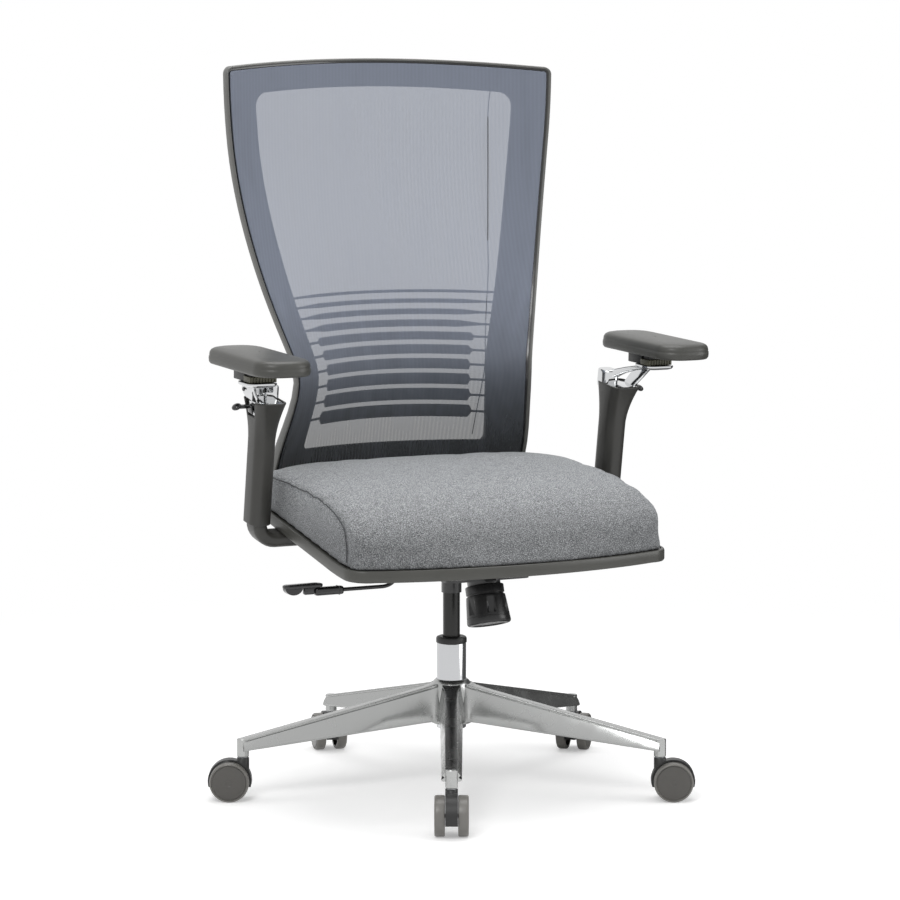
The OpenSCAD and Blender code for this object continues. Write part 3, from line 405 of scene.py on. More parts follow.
def sweep(bm, path, section, up=(0, 1, 0), caps=True):
    """Lofts section, points of (across, along up), along a path of points. section may be one for each point."""
    rings = []
    for k, point in enumerate(path):
        ahead = Vector(path[min(k + 1, len(path) - 1)]) - Vector(path[max(k - 1, 0)])
        side = ahead.cross(Vector(up)).normalized()
        top = side.cross(ahead).normalized()
        shape = section[k] if isinstance(section[0][0], (list, tuple)) else section
        rings.append([Vector(point) + side * a + top * b for a, b in shape])
    loft(bm, rings, caps=caps)


def softened(path, reach=10.0, times=3):
    """The path with its corners cut a few times over, so that it bends smoothly."""
    points = [Vector(p) for p in path]
    for _ in range(times):
        cut = [points[0]]
        for a, b in zip(points, points[1:]):
            part = min(0.25, reach / max((b - a).length, 1e-6))
            cut += [a.lerp(b, part), a.lerp(b, 1 - part)]
        points = [cut[0]] + cut[2:-1] + [points[-1]]
        reach *= 0.45
    return points


def circle(r, count=16):
    return [(r * math.cos(2 * math.pi * k / count), r * math.sin(2 * math.pi * k / count)) for k in range(count)]


print("modelling helpers ready")

# %% [markdown]
# ## Parts that keep their measured shape
# Housings, plates, pins and bolts already have the right shape and only need real edges: no moulded or turned part
# has a perfectly sharp corner. Each is copied, its loose triangles are merged, flat areas are dissolved into single
# faces, and the sharp edges get a small bevel that catches the light. The spring keeps its own mesh.

# %% Ease the edges of the plain parts
def eased(node, body, looks, edge=0.8):
    """A copy of a measured part with its edges rounded by edge millimetres."""
    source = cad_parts[node]
    bm = bmesh.new()
    bm.from_mesh(source.data)
    bm.transform(source.matrix_world)
    bmesh.ops.scale(bm, vec=(1000,) * 3, verts=bm.verts)
    bmesh.ops.remove_doubles(bm, verts=bm.verts, dist=0.02)
    bmesh.ops.dissolve_limit(bm, angle_limit=math.radians(1.5), verts=bm.verts, edges=bm.edges)
    corners = [e for e in bm.edges if e.is_manifold and e.calc_face_angle() > math.radians(35)]
    bmesh.ops.bevel(bm, geom=corners, offset=edge, affect="EDGES", segments=2, profile=0.5, material=-1,
                    clamp_overlap=True)
    return finish_piece(f"{node}_eased", bm, body, looks, replaces=(node,), sharp=35)


PLAIN_PARTS = [
    ("mechanism_housing", "mechanism", black_enamel, "black_plastic", 1.5),
    ("recline_pin", "mechanism", bright_steel, "steel", 0.6),
    ("seat_tilt_pin", "mechanism", bright_steel, "steel", 0.6),
    ("tension_spring", "mechanism", bright_steel, "steel", 0),
    ("tension_rod", "knob", bright_steel, "steel", 0.4),
    ("valve_button", "valve", bright_steel, "steel", 0.5),
    ("seat_carrier", "seat", black_enamel, "black_metal", 0.6),
    ("seat_bolts", "seat", bright_steel, "steel", 0.4),
    ("arm_bolts", "seat", bright_steel, "steel", 0.4),
    ("back_carrier", "back", black_nylon, "black_plastic", 2.0),
    ("back_bolts", "back", bright_steel, "steel", 0.4),
]
for node, body, looks, slot, edge in PLAIN_PARTS:
    if edge:
        eased(node, body, looks, edge)
    else:
        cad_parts[node].data.materials.clear()
        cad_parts[node].data.materials.append(looks)
print("eased parts:", len(PLAIN_PARTS))

# %% [markdown]
# ## The five-legged base
# The star is one casting: a hub, five legs that fall and narrow towards a socket, and a polished top. Each leg has a
# flat strip along its top with a fine undercut beside it, and tall sides that draw in towards an open channel below.
# One leg is a loft of the same section at several distances from the hub, a little wider where it grows out of the
# hub. It is drawn once along X and turned to its five places.

# %% Loft the legs, spin the hub and sockets
STEM_CIRCLE, HUB_TOP, HUB_R, SOCKET_R = 331.0, 168.0, 31.5, 9.2
LEG_ROOT, LEG_TIP, LEG_CREASE = 26.5, 333.0, 37.5
LEG_TURNS = [-27 + 72 * k for k in range(5)]


def leg_section(r):
    """The leg's outline at r from the chair's axis: a narrow polished strip on top of sides that widen downwards."""
    along = (r - LEG_ROOT) / (LEG_TIP - LEG_ROOT)
    root = math.exp(-max(r - HUB_R, 0) / 7)
    strip = 10.2 - 0.8 * along + 4 * root
    low = 17.5 - 2.5 * along + 4 * root
    top = 166 - 0.2175 * r + 1.6 * root
    foot = 104 - 28 * max(r - LEG_CREASE, 0) / (LEG_TIP - LEG_CREASE)
    drawn = 7.5 / (top - foot - 7.5)
    right = [(strip - 1.0, top), (strip - 0.3, top - 0.3), (strip, top - 1.0), (strip, top - 1.8),
             (strip - 1.5, top - 2.3), (strip - 1.7, top - 3.9), (strip + 0.2, top - 4.5),
             ((strip + low) / 2 + 0.8, (top + foot) / 2), (low, foot + 3), (low - 0.8, foot + 0.8), (low - 3, foot),
             (low - 5, foot), (strip + (low - strip) * drawn - 3.4, top - 12)]
    return [(r, t, z) for t, z in right] + [(r, -t, z) for t, z in reversed(right)]


bm = bmesh.new()
for angle in LEG_TURNS:
    leg = bmesh.new()
    stations = (LEG_ROOT, 31.5, 34, LEG_CREASE, 43, 52, 70, 110, 160, 210, 260, 300, 322, LEG_TIP)
    loft(leg, [leg_section(r) for r in stations], caps=True)
    add_part(bm, leg, turn("Z", angle - 90))
    lathe(bm, [(0, 89.5), (5.6, 89.5), (5.6, 66.6), (8.4, 66.6), (SOCKET_R, 67.4), (SOCKET_R, 92.6), (8.4, 93.8),
               (0, 94)], 40, turn("Z", angle - 90) @ shift(STEM_CIRCLE, 0, 0))
lathe(bm, [(22.7, 100), (30.5, 100), (HUB_R, 101), (HUB_R, 150), (30.7, 157), (29.4, 161.5), (27.2, 165.2),
           (24.8, 167.3), (23.6, HUB_TOP), (23.2, HUB_TOP), (22.7, 167.4), (22.7, 100)], 80)
star = finish_piece("star_base", bm, "base", aluminium, ["base_star"], sharp=28)
print("star faces:", len(star.data.polygons))

# %% [markdown]
# ## Gas spring
# The outer tube is a chromed steel tube with a black plastic cap pressed into its top, and the piston that slides in
# it is ground and blackened. All three are turned parts, so each is a profile spun round the chair's upright axis.

# %% Spin the tube, cap and piston
bm = bmesh.new()
lathe(bm, [(0, 92), (21.5, 92), (22.5, 93), (22.5, 223), (22.0, 223.9), (20.5, 223.9), (20.5, 180)], 80)
finish_piece("gas_tube", bm, "base", tube_chrome, ["column_tube"], sharp=30)
bm = bmesh.new()
lathe(bm, [(13.1, 178), (20.2, 178), (20.2, 224.1), (23.0, 224.1), (23.6, 224.9), (23.6, 230.4), (22.6, 232.8),
           (20.4, 233.9), (15.6, 233.9), (13.9, 233.2), (13.1, 231), (13.1, 178)], 72)
finish_piece("tube_cap", bm, "base", black_nylon, ["column_cap"], sharp=30)
bm = bmesh.new()
lathe(bm, [(0, 152), (12.2, 152), (13, 152.8), (13, 349.2), (12.2, 350), (4.2, 350), (4.2, 335)], 64)
finish_piece("piston_rod", bm, "gas_piston", piston_steel, ["column_piston"], sharp=30)
print("gas spring spun")

# %% [markdown]
# ## Castors
# A twin-wheel castor is a black hood on a steel stem with a wheel on each side of it. The wheel's profile has a
# rounded tyre, a groove, and a slightly domed cover, and one spin makes it. The tyre and the cover differ in finish,
# so faces outside the groove take the tyre's material. The hood is an eased copy, and each pair of wheels sits on its
# own axle, turned as the castor has come to rest.

# %% Spin ten wheels and ease five hoods
TRAIL = [0, 90, 166, 194, 270]
WHEEL_Z, AXLE_Y, WEB = 30.0, -20.0, 18.4
GROOVE_R = 26.2
wheel_profile = [(0, 12.6), (3.1, 12.6), (3.1, 0.1), (12.4, 0.1), (12.6, 5.5), (24.6, 5.5), (24.8, 0.1), (28.6, 0.1),
                 (29.6, 0.9), (30, 2.4), (30, 11.0), (29.8, 12.8), (29.3, 14.2), (28.6, 15.0), (27.9, 15.3),
                 (27.3, 15.1), (26.9, 14.4), (26.7, 13.4), (25.8, 13.4), (25.6, 14.6), (25.1, 15.1), (24.2, 15.3),
                 (15, 15.5), (5.2, 15.6), (4.6, 15.2), (0, 15.2)]
for k, (leg_turn, trail) in enumerate(zip(LEG_TURNS, TRAIL), start=1):
    stem = turn("Z", leg_turn) @ shift(0, -STEM_CIRCLE, 0) @ turn("Z", -27 + trail - leg_turn)
    for side, hand in ((1, "right"), (-1, "left")):
        bm = bmesh.new()
        lathe(bm, wheel_profile, 72, shift(side * (WEB / 2 + 0.3), AXLE_Y, WHEEL_Z) @ turn("Y", 90 * side))
        wheel = finish_piece(f"castor_{k}_{hand}_tyre", bm, f"caster_{k}_wheel_{hand}", [cover_grey, tyre_grey],
                             [f"caster_{k}_{hand}_wheel"], sharp=32, place=stem)
        hub_at = stem @ Vector((side * WEB / 2, AXLE_Y, WHEEL_Z)) / 1000
        spin = (stem.to_3x3() @ Vector((1, 0, 0))).normalized()
        for face in wheel.data.polygons:
            reach = face.center - hub_at
            face.material_index = int((reach - spin * reach.dot(spin)).length > GROOVE_R / 1000)
    eased(f"caster_{k}_body", f"caster_{k}", black_nylon, 1.2)
    eased(f"caster_{k}_pins", f"caster_{k}", bright_steel, 0.4)
print("castors dressed")

# %% [markdown]
# ## Tension knob
# The knob under the seat is a tapered grip with a collar, a neck and six thumb recesses, each a U that deepens
# towards its closed lower end. Rings of points carry the taper, and inside each recess the radius drops. The last
# ring of the recess jumps back to the full radius, which is what closes the U, and a fine line runs round below it.

# %% Loft the knob
KNOB_RECESSES, RECESS_STEPS, RECESS_HALF = 6, 32, 0.2
knob_place = shift(0, -106, 334) @ turn("X", -16.7)
KNOB_PROFILE = [
    (0, 27.6, 0), (0.5, 28.6, 0), (1.2, 29, 0), (12.2, 29, 0), (12.8, 28.4, 0), (13.1, 26.8, 0),
    (14.8, 26.8, 0), (15.2, 28.6, 0), (16, 29.4, 0), (19, 29.9, 0), (20, 30.0, 0.25), (25, 30.5, 1.4),
    (31, 31.1, 2.7), (37, 31.6, 3.9), (42, 32.1, 4.9), (43.2, 32.2, 5.0), (43.9, 32.3, 0), (47.6, 32.6, 0),
    (47.9, 32.1, 0), (48.5, 32.1, 0), (48.8, 32.7, 0), (54.5, 33.3, 0), (57, 32.8, 0), (58.4, 31.4, 0),
    (59, 29, 0), (58.8, 25, 0), (58, 23.6, 0), (57.8, 10, 0), (57.8, 0.01, 0)]
knob_rings = []
for depth, radius, drop in KNOB_PROFILE:
    ring = []
    for k in range(KNOB_RECESSES * RECESS_STEPS):
        inside = RECESS_HALF - abs((k % RECESS_STEPS) / RECESS_STEPS - 0.5)
        reach = radius - drop * max(0.0, min(1.0, inside / 0.07)) ** 0.7
        angle = 2 * math.pi * (k / (KNOB_RECESSES * RECESS_STEPS) - 0.04)
        ring.append((reach * math.cos(angle), reach * math.sin(angle), -8.3 - depth))
    knob_rings.append(ring)
bm = bmesh.new()
loft(bm, knob_rings)
finish_piece("tension_grip", bm, "knob", satin_black, ["tension_knob"], sharp=34, place=knob_place,
             merge=0.02)
print("knob recesses:", KNOB_RECESSES)

# %% [markdown]
# ## Height lever
# A steel rod runs from the valve, drops beside the housing and comes out under the seat. On its end sit a moulded
# sleeve and a flat paddle that reaches over the sleeve, with a rounded thumb lobe below it. The rod is a circle
# swept along a path whose corners are softened, because a bent rod has no sharp corner, with an eye for its pin.

# %% Sweep the rod, build the sleeve and paddle
LEVER_Z, LEVER_LOW, LEVER_REACH, SLEEVE_LEN = 360.3, 318.3, 231.0, 47.0
rod_path = softened([(4, 0, LEVER_Z), (-40, 0, LEVER_Z), (-56, 0, LEVER_Z - 9), (-88, 0, LEVER_Z - 14),
                     (-100, 0, LEVER_LOW), (-248, 0, LEVER_LOW)])
bm = bmesh.new()
sweep(bm, rod_path, circle(3.0, 20))
lathe(bm, [(2.05, -8), (5, -8), (5, 8), (2.05, 8), (2.05, -8)], 32, shift(-30, 0, LEVER_Z) @ turn("X", 90))
finish_piece("lever_rod", bm, "lever", black_enamel, ["lift_lever"], sharp=35)
bm = bmesh.new()
block(bm, (SLEEVE_LEN, 12.6, 12.6), (-LEVER_REACH + SLEEVE_LEN / 2, 0, LEVER_LOW), 3.4)
block(bm, (1.6, 13.4, 13.4), (-LEVER_REACH + SLEEVE_LEN - 8, 0, LEVER_LOW), 0.7)
finish_piece("lever_sleeve", bm, "lever", gloss_black, ["lever_grip"], sharp=35)
bm = bmesh.new()
blade, blade_x, blade_foot = rounded_rect(64, 18, 8), -LEVER_REACH - 19.4, 326
loft(bm, [[(x * s + blade_x, y * s, z) for x, y in blade] for s, z in
          ((0.9, 325.4), (0.98, 326), (1, 327.2), (1, 329.2), (0.98, 330.4), (0.92, 331))], caps=True)
block(bm, (17, 9, 12), (-LEVER_REACH - 9.5, 0, 320.5), 2.4)
disc = bmesh.ops.create_cone(bm, cap_ends=True, segments=40, radius1=10.5, radius2=10.5, depth=11)["verts"]
bmesh.ops.rotate(bm, verts=disc, cent=(0, 0, 0), matrix=Matrix.Rotation(math.radians(90), 3, "X"))
bmesh.ops.scale(bm, vec=(1.35, 1, 1), verts=disc)
bmesh.ops.translate(bm, vec=(blade_x - 16, 0, blade_foot), verts=disc)
lobe = list({f for v in disc for f in v.link_faces}) + list({e for v in disc for e in v.link_edges}) + disc
cut = bmesh.ops.bisect_plane(bm, geom=lobe, plane_co=(0, 0, blade_foot), plane_no=(0, 0, 1), clear_outer=True)
bmesh.ops.contextual_create(bm, geom=[g for g in cut["geom_cut"] if isinstance(g, bmesh.types.BMEdge)])
finish_piece("thumb_paddle", bm, "paddle", gloss_black, ["lock_paddle"], sharp=35)
print("lever path points:", len(rod_path))

# %% [markdown]
# ## Seat outline and rim
# The seat's plan has straight sides, round corners and bowed front and rear edges. The pan follows a gentle slope
# that levels off at the front, and the rim round it is a band of satin plastic with a thin light top edge. Loops of
# points on that outline, each with its inset and height, are lofted from the top of the pan, over the rim and back
# underneath to the middle.

# %% Loft the rim and pan
PAN_HALF_W, PAN_HALF_D, PAN_MID_Y, SEAT_R = 267.0, 186.0, -28.0, 36.0
REAR_BOW, FRONT_BOW = 0.15, 0.2
ARM_X, ARM_Y, ARM_Z, ARM_LEAN = 301.0, 54.0, 421.0, 9


def pan_top(y):
    """Height of the pan's top face, in millimetres."""
    rise = math.tan(math.radians(11.5))
    if y > -130:
        return 375 + rise * (y + 180)
    return 375 + rise * max(y + 230, 0) ** 2 / 200


def seat_loop(inset, lift, shrink=1.0):
    """Points round the seat's outline, moved in by inset and up from the pan's slope by lift."""
    w, d, r = PAN_HALF_W - inset, PAN_HALF_D - inset, max(SEAT_R - inset, 4)
    corner = [(r * math.cos(a), r * math.sin(a)) for a in np.radians(np.linspace(0, 90, 9))]
    bowed = [((w - r) * (1 - k / 10), 1 - (1 - k / 10) ** 2) for k in range(1, 20)]
    plan = [(w, -(d - r) + 2 * (d - r) * k / 14) for k in range(14)]
    plan += [(w - r + x, d - r + y) for x, y in corner]
    plan += [(x, d + REAR_BOW * PAN_HALF_D * share) for x, share in bowed]
    plan += [(-(w - r) - y, d - r + x) for x, y in corner]
    plan += [(-w, (d - r) - 2 * (d - r) * k / 14) for k in range(1, 14)]
    plan += [(-(w - r) - x, -(d - r) - y) for x, y in corner]
    plan += [(-x, -d - FRONT_BOW * PAN_HALF_D * share) for x, share in bowed]
    plan += [(w - r + r * math.sin(a), -(d - r) - r * math.cos(a)) for a in np.radians(np.linspace(0, 80, 8))]
    placed = []
    for x, y in plan:
        y = PAN_MID_Y + y * shrink
        placed.append((x * shrink, y, pan_top(y) + lift))
    return placed


bm = bmesh.new()
loft(bm, [seat_loop(9, -0.2, s) for s in (0.01, 0.3, 0.6, 0.85, 0.97, 1)]
     + [seat_loop(i, z) for i, z in ((5.4, -0.2), (4.6, 1.4), (2.2, 1.4), (0.8, 0.6), (0, -1.2), (0, -14),
                                     (1.2, -16), (3.4, -16.5), (7, -16.5), (8, -15.5), (8, -9))]
     + [seat_loop(9, -9, s) for s in (0.99, 0.85, 0.6, 0.3, 0.01)])
for side in (-1, 1):
    arm_place = shift(side * ARM_X, ARM_Y, ARM_Z) @ turn("X", ARM_LEAN)
    block(bm, (127, 44, 16), (-side * (ARM_X - 191.5), 0, -7), 1.5, arm_place)
finish_piece("seat_rim", bm, "seat", rim_plastic, ["seat_pan"], sharp=34)
print("rim runs from z", round(pan_top(-251), 1), "to", round(pan_top(186), 1), "mm")

# %% [markdown]
# ## Seat cushion
# Cut foam under a fitted cloth cover: a top panel that rolls over the front edge, and side panels joined to it
# along a seam. A finely cut cube is placed on the outline and on the profile of the foam, remeshed into even quads,
# and then blown up slightly by the cloth simulation, so that the cover swells between its edges the way a stuffed
# cover does. How far a point may move is capped, and the underside stays on the pan. The seam comes after, because
# remeshing would rub it out: points near its line are drawn in, and a stitched cord lies in the groove.

# %% Shape the foam
TOP_Y = [-252, -246, -230, -208, -175, -134, -75, 0, 90, 150, 200]
TOP_Z = [374, 381, 403, 429, 454, 472, 486, 494, 499, 498, 490]
SEAM_DROP = 12.0
CUSHION_INSET = 5.5


def foam_top(u, y):
    """Height of the foam at a share u of its half width, lower towards the sides."""
    return float(np.interp(y, TOP_Y, TOP_Z)) - SEAM_DROP * abs(u) ** 5


def foam_point(u, v, lift):
    """u across and v along, both from -1 to 1, lift from 0 at the pan to 1 at the top."""
    w, d, r = PAN_HALF_W - CUSHION_INSET, PAN_HALF_D - CUSHION_INSET, SEAT_R - CUSHION_INSET
    into = max(abs(v) * d - (d - r), 0.0)
    cut = r - math.sqrt(max(r * r - into * into, 0.0))
    x = u * (w - cut)
    bow = (FRONT_BOW if v < 0 else REAR_BOW) * PAN_HALF_D * max(0.0, 1 - (x / (w - r)) ** 2) * abs(v) ** 3
    y = PAN_MID_Y + v * d + math.copysign(bow, v)
    low = pan_top(y) + 0.5
    return (x, y, low + lift * max(foam_top(u, y) - 4 - low, 0.8))


bm = bmesh.new()
bmesh.ops.create_cube(bm, size=2)
bmesh.ops.subdivide_edges(bm, edges=bm.edges, cuts=39, use_grid_fill=True)
for vert in bm.verts:
    vert.co = foam_point(vert.co.x, vert.co.y, (vert.co.z + 1) / 2)
bmesh.ops.smooth_vert(bm, verts=[v for v in bm.verts if v.co.z > pan_top(v.co.y) + 12], factor=0.4,
                      use_axis_x=True, use_axis_y=True, use_axis_z=True)
foam = finish_piece("seat_cushion_cover", bm, "seat", seat_cloth, ["seat_cushion"], sharp=180)
print("foam faces before remeshing:", len(foam.data.polygons))

# %% Remesh it, let the cloth swell and cap the moves
def keep_evaluated(piece):
    """Makes what the modifiers show the piece's own mesh."""
    shown = piece.evaluated_get(bpy.context.evaluated_depsgraph_get())
    mesh = bpy.data.meshes.new_from_object(shown)
    piece.modifiers.clear()
    piece.data = mesh


remesh = foam.modifiers.new("even quads", "REMESH")
remesh.mode = "VOXEL"
remesh.voxel_size = 0.006
keep_evaluated(foam)
at_rest = [v.co.copy() for v in foam.data.vertices]
cloth = foam.modifiers.new("swell", "CLOTH")
cloth.settings.use_pressure = True
cloth.settings.uniform_pressure_force = 4
cloth.settings.effector_weights.gravity = 0
cloth.settings.tension_stiffness = 18
cloth.settings.compression_stiffness = 18
cloth.settings.bending_stiffness = 2
for step in range(1, 21):
    bpy.context.scene.frame_set(step)
keep_evaluated(foam)
bpy.context.scene.frame_set(1)
MOST_SWELL = 0.0042
moved = 0.0
for vert, start in zip(foam.data.vertices, at_rest):
    step = vert.co - start
    floor = pan_top(start.y * 1000) / 1000
    hold = min(1.0, max(0.0, (start.z - floor - 0.004) / 0.02))
    step *= hold * min(1.0, MOST_SWELL / max(step.length, 1e-9))
    moved = max(moved, step.length)
    vert.co = start + step
divide = foam.modifiers.new("smooth", "SUBSURF")
divide.levels = divide.render_levels = 1
keep_evaluated(foam)
foam.data.shade_smooth()
print("cover faces:", len(foam.data.polygons), "largest swell:", round(moved * 1000, 2), "mm")

# %% Draw the side seams in and lay the stitching
SEAM_LINE = [(150, 490), (81, 488), (-3, 482), (-75, 473), (-134, 456), (-158, 441), (-169, 430), (-174, 410),
             (-176, 386)]
surface = BVHTree.FromPolygons([v.co.copy() for v in foam.data.vertices],
                               [tuple(p.vertices) for p in foam.data.polygons])
seams = []
for side in (-1, 1):
    line = softened([(side * 268, y, z) for y, z in SEAM_LINE], reach=14)
    dense = [a.lerp(b, k / 6) for a, b in zip(line, line[1:]) for k in range(6)] + [line[-1]]
    seams.append([surface.find_nearest(p / 1000)[0] for p in dense])
SEAM_REACH, SEAM_DEPTH = 0.009, 0.0022
for points in seams:
    for vert in foam.data.vertices:
        if abs(vert.co.x) < 0.2 or (vert.co.x > 0) != (points[0].x > 0):
            continue
        gap = min((vert.co - p).length for p in points[::2])
        if gap < SEAM_REACH:
            vert.co -= vert.normal * SEAM_DEPTH * (1 - (gap / SEAM_REACH) ** 2) ** 2
for hand, points in zip(("left", "right"), seams):
    bm = bmesh.new()
    sweep(bm, [p * 1000 for p in points], circle(0.9, 8), up=(0, 0.3, 1))
    finish_piece(f"seam_cord_{hand}", bm, "seat", seam_thread, sharp=60)
print("seam length:", round(sum((b - a).length for a, b in zip(seams[0], seams[0][1:])), 3), "m")

# %% [markdown]
# ## Arms
# Each arm is an L-shaped bar bolted under the seat, a hollow post over its upright, and a chromed bracket that slides
# in the post and carries the pad. The post is a rounded tube whose mouth flares in a concave curve, with a notch for
# the release trigger. It is a loft of rounded rectangles with a wall made by Solidify. Everything is drawn for the
# right arm and mirrored for the left.

# %% Bars, posts and triggers
PAD_X, PAD_Y, PAD_Z = 336.0, -38.0, 660.0
PAD_TILT, ELBOW_R, BUTTON_Z = 2.5, 25.7, 181
POST_W, POST_D, FLARE_FROM, FLARE_TO = 34, 46, 128, 192
MOUTH_WIDER, MOUTH_DEEPER, MOUTH_OUT, MOUTH_FORWARD = 17, 19, 2.0, 8.0


def arm_frame(side):
    return shift(side * ARM_X, ARM_Y, ARM_Z) @ turn("X", ARM_LEAN) @ Matrix.Scale(side, 4, (1, 0, 0))


def pad_frame(side):
    return shift(side * PAD_X, PAD_Y, PAD_Z) @ turn("X", PAD_TILT) @ Matrix.Scale(side, 4, (1, 0, 0))


def post_ring(z, inset=0.0):
    """The post's outline at a height above the arm's foot, moved in by inset."""
    swell = max(0.0, (z - FLARE_FROM) / (FLARE_TO - FLARE_FROM)) ** 1.7
    w, d = POST_W + MOUTH_WIDER * swell - 2 * inset, POST_D + MOUTH_DEEPER * swell - 2 * inset
    ring = rounded_rect(w, d, 14 - inset)
    return [(x + MOUTH_OUT * swell, y - MOUTH_FORWARD * swell, z) for x, y in ring]


for side, hand in ((-1, "left"), (1, "right")):
    bend = [(0, 0, 45), (0, 0, 12)]
    bend += [(ELBOW_R * (math.cos(a) - 1), 0, -0.3 - ELBOW_R * math.sin(a))
             for a in np.radians(np.linspace(0, 90, 9))]
    bend += [(-60, 0, -26), (-175, 0, -26)]
    bm = bmesh.new()
    sweep(bm, bend, rounded_rect(22, 39, 8))
    finish_piece(f"{hand}_arm_elbow", bm, "seat", post_plastic, [f"{hand}_arm_bar"], sharp=40,
                 place=arm_frame(side))
    bm = bmesh.new()
    heights = [0, 1.5, 60, 120, 132, 142, 150, 158, 166, 172, 178, 184, 189, 192]
    loft(bm, [post_ring(z) for z in heights])
    notch = [f for f in bm.faces if f.calc_center_median().z > 166 and f.calc_center_median().x > 16
             and abs(f.normal.y) < 0.2 and abs(f.calc_center_median().y + 3) < 10]
    bmesh.ops.delete(bm, geom=notch, context="FACES")
    post = finish_piece(f"{hand}_post_sleeve", bm, "seat", post_plastic, [f"{hand}_arm_post"],
                        sharp=40, place=arm_frame(side))
    wall = post.modifiers.new("wall", "SOLIDIFY")
    wall.thickness, wall.offset = 0.003, -1
    edge = post.modifiers.new("edge", "BEVEL")
    edge.width, edge.segments, edge.limit_method, edge.angle_limit = 0.0009, 2, "ANGLE", math.radians(50)
    bm = bmesh.new()
    oval = bmesh.ops.create_uvsphere(bm, u_segments=28, v_segments=16, radius=1)["verts"]
    bmesh.ops.scale(bm, vec=(7.5, 7.5, 4.6), verts=oval)
    bmesh.ops.rotate(bm, verts=oval, cent=(0, 0, 0), matrix=Matrix.Rotation(math.radians(28), 3, "Y"))
    bmesh.ops.translate(bm, vec=(44, 0, BUTTON_Z), verts=oval)
    block(bm, (16, 9, 5), (33, 0, BUTTON_Z), 1.2)
    block(bm, (2.4, 16, 12), (0, 0, 0), 0.8, shift(22.9, -3, 177) @ turn("Y", 13))
    finish_piece(f"{hand}_release_button", bm, f"{hand}_trigger", gloss_black,
                 [f"{hand}_arm_trigger"], sharp=35, place=arm_frame(side))
print("posts flare from", POST_W, "to", POST_W + MOUTH_WIDER, "mm")

# %% [markdown]
# ## Chromed brackets and pads
# The bracket is a bright casting whose tube follows the inside of the post and fills its mouth. Above the mouth it
# parts in two: a boss at the inner rear side, from which a band climbs outwards and forwards, and a web on the outer
# side. Both end in the head, a plate under the pad, with daylight between them. Each is a loft through stations whose
# sections change in size. Between the head and the pad sits the slide, black behind and ribbed olive grey in front.
# The pad is lofted from rounded rectangles: a flat underside, a soft ridge line round its side and a crown.

# %% Brackets, slides and pads
PAD_W, PAD_LEN, PAD_TOP, RIDGE_STEP = 90, 225, 25.9, 4.7


def stacked(bm, side, stations, section):
    """Lofts rounded sections through stations given for the right arm, from its post's axis, and mirrors the left."""
    loft(bm, [[(side * (ARM_X + x), y, z) for x, y, z in section(*station)] for station in stations], caps=True)


def band_section(x, y, z, wide, tall):
    """An upright section across the band, which runs outwards and forwards."""
    return [(x + 0.81 * u, y + 0.58 * u, z + v) for u, v in rounded_rect(wide, tall, tall * 0.34)]


def web_section(x, y, z, thick, deep):
    return [(x + u, y + v, z) for u, v in rounded_rect(thick, deep, thick * 0.45)]


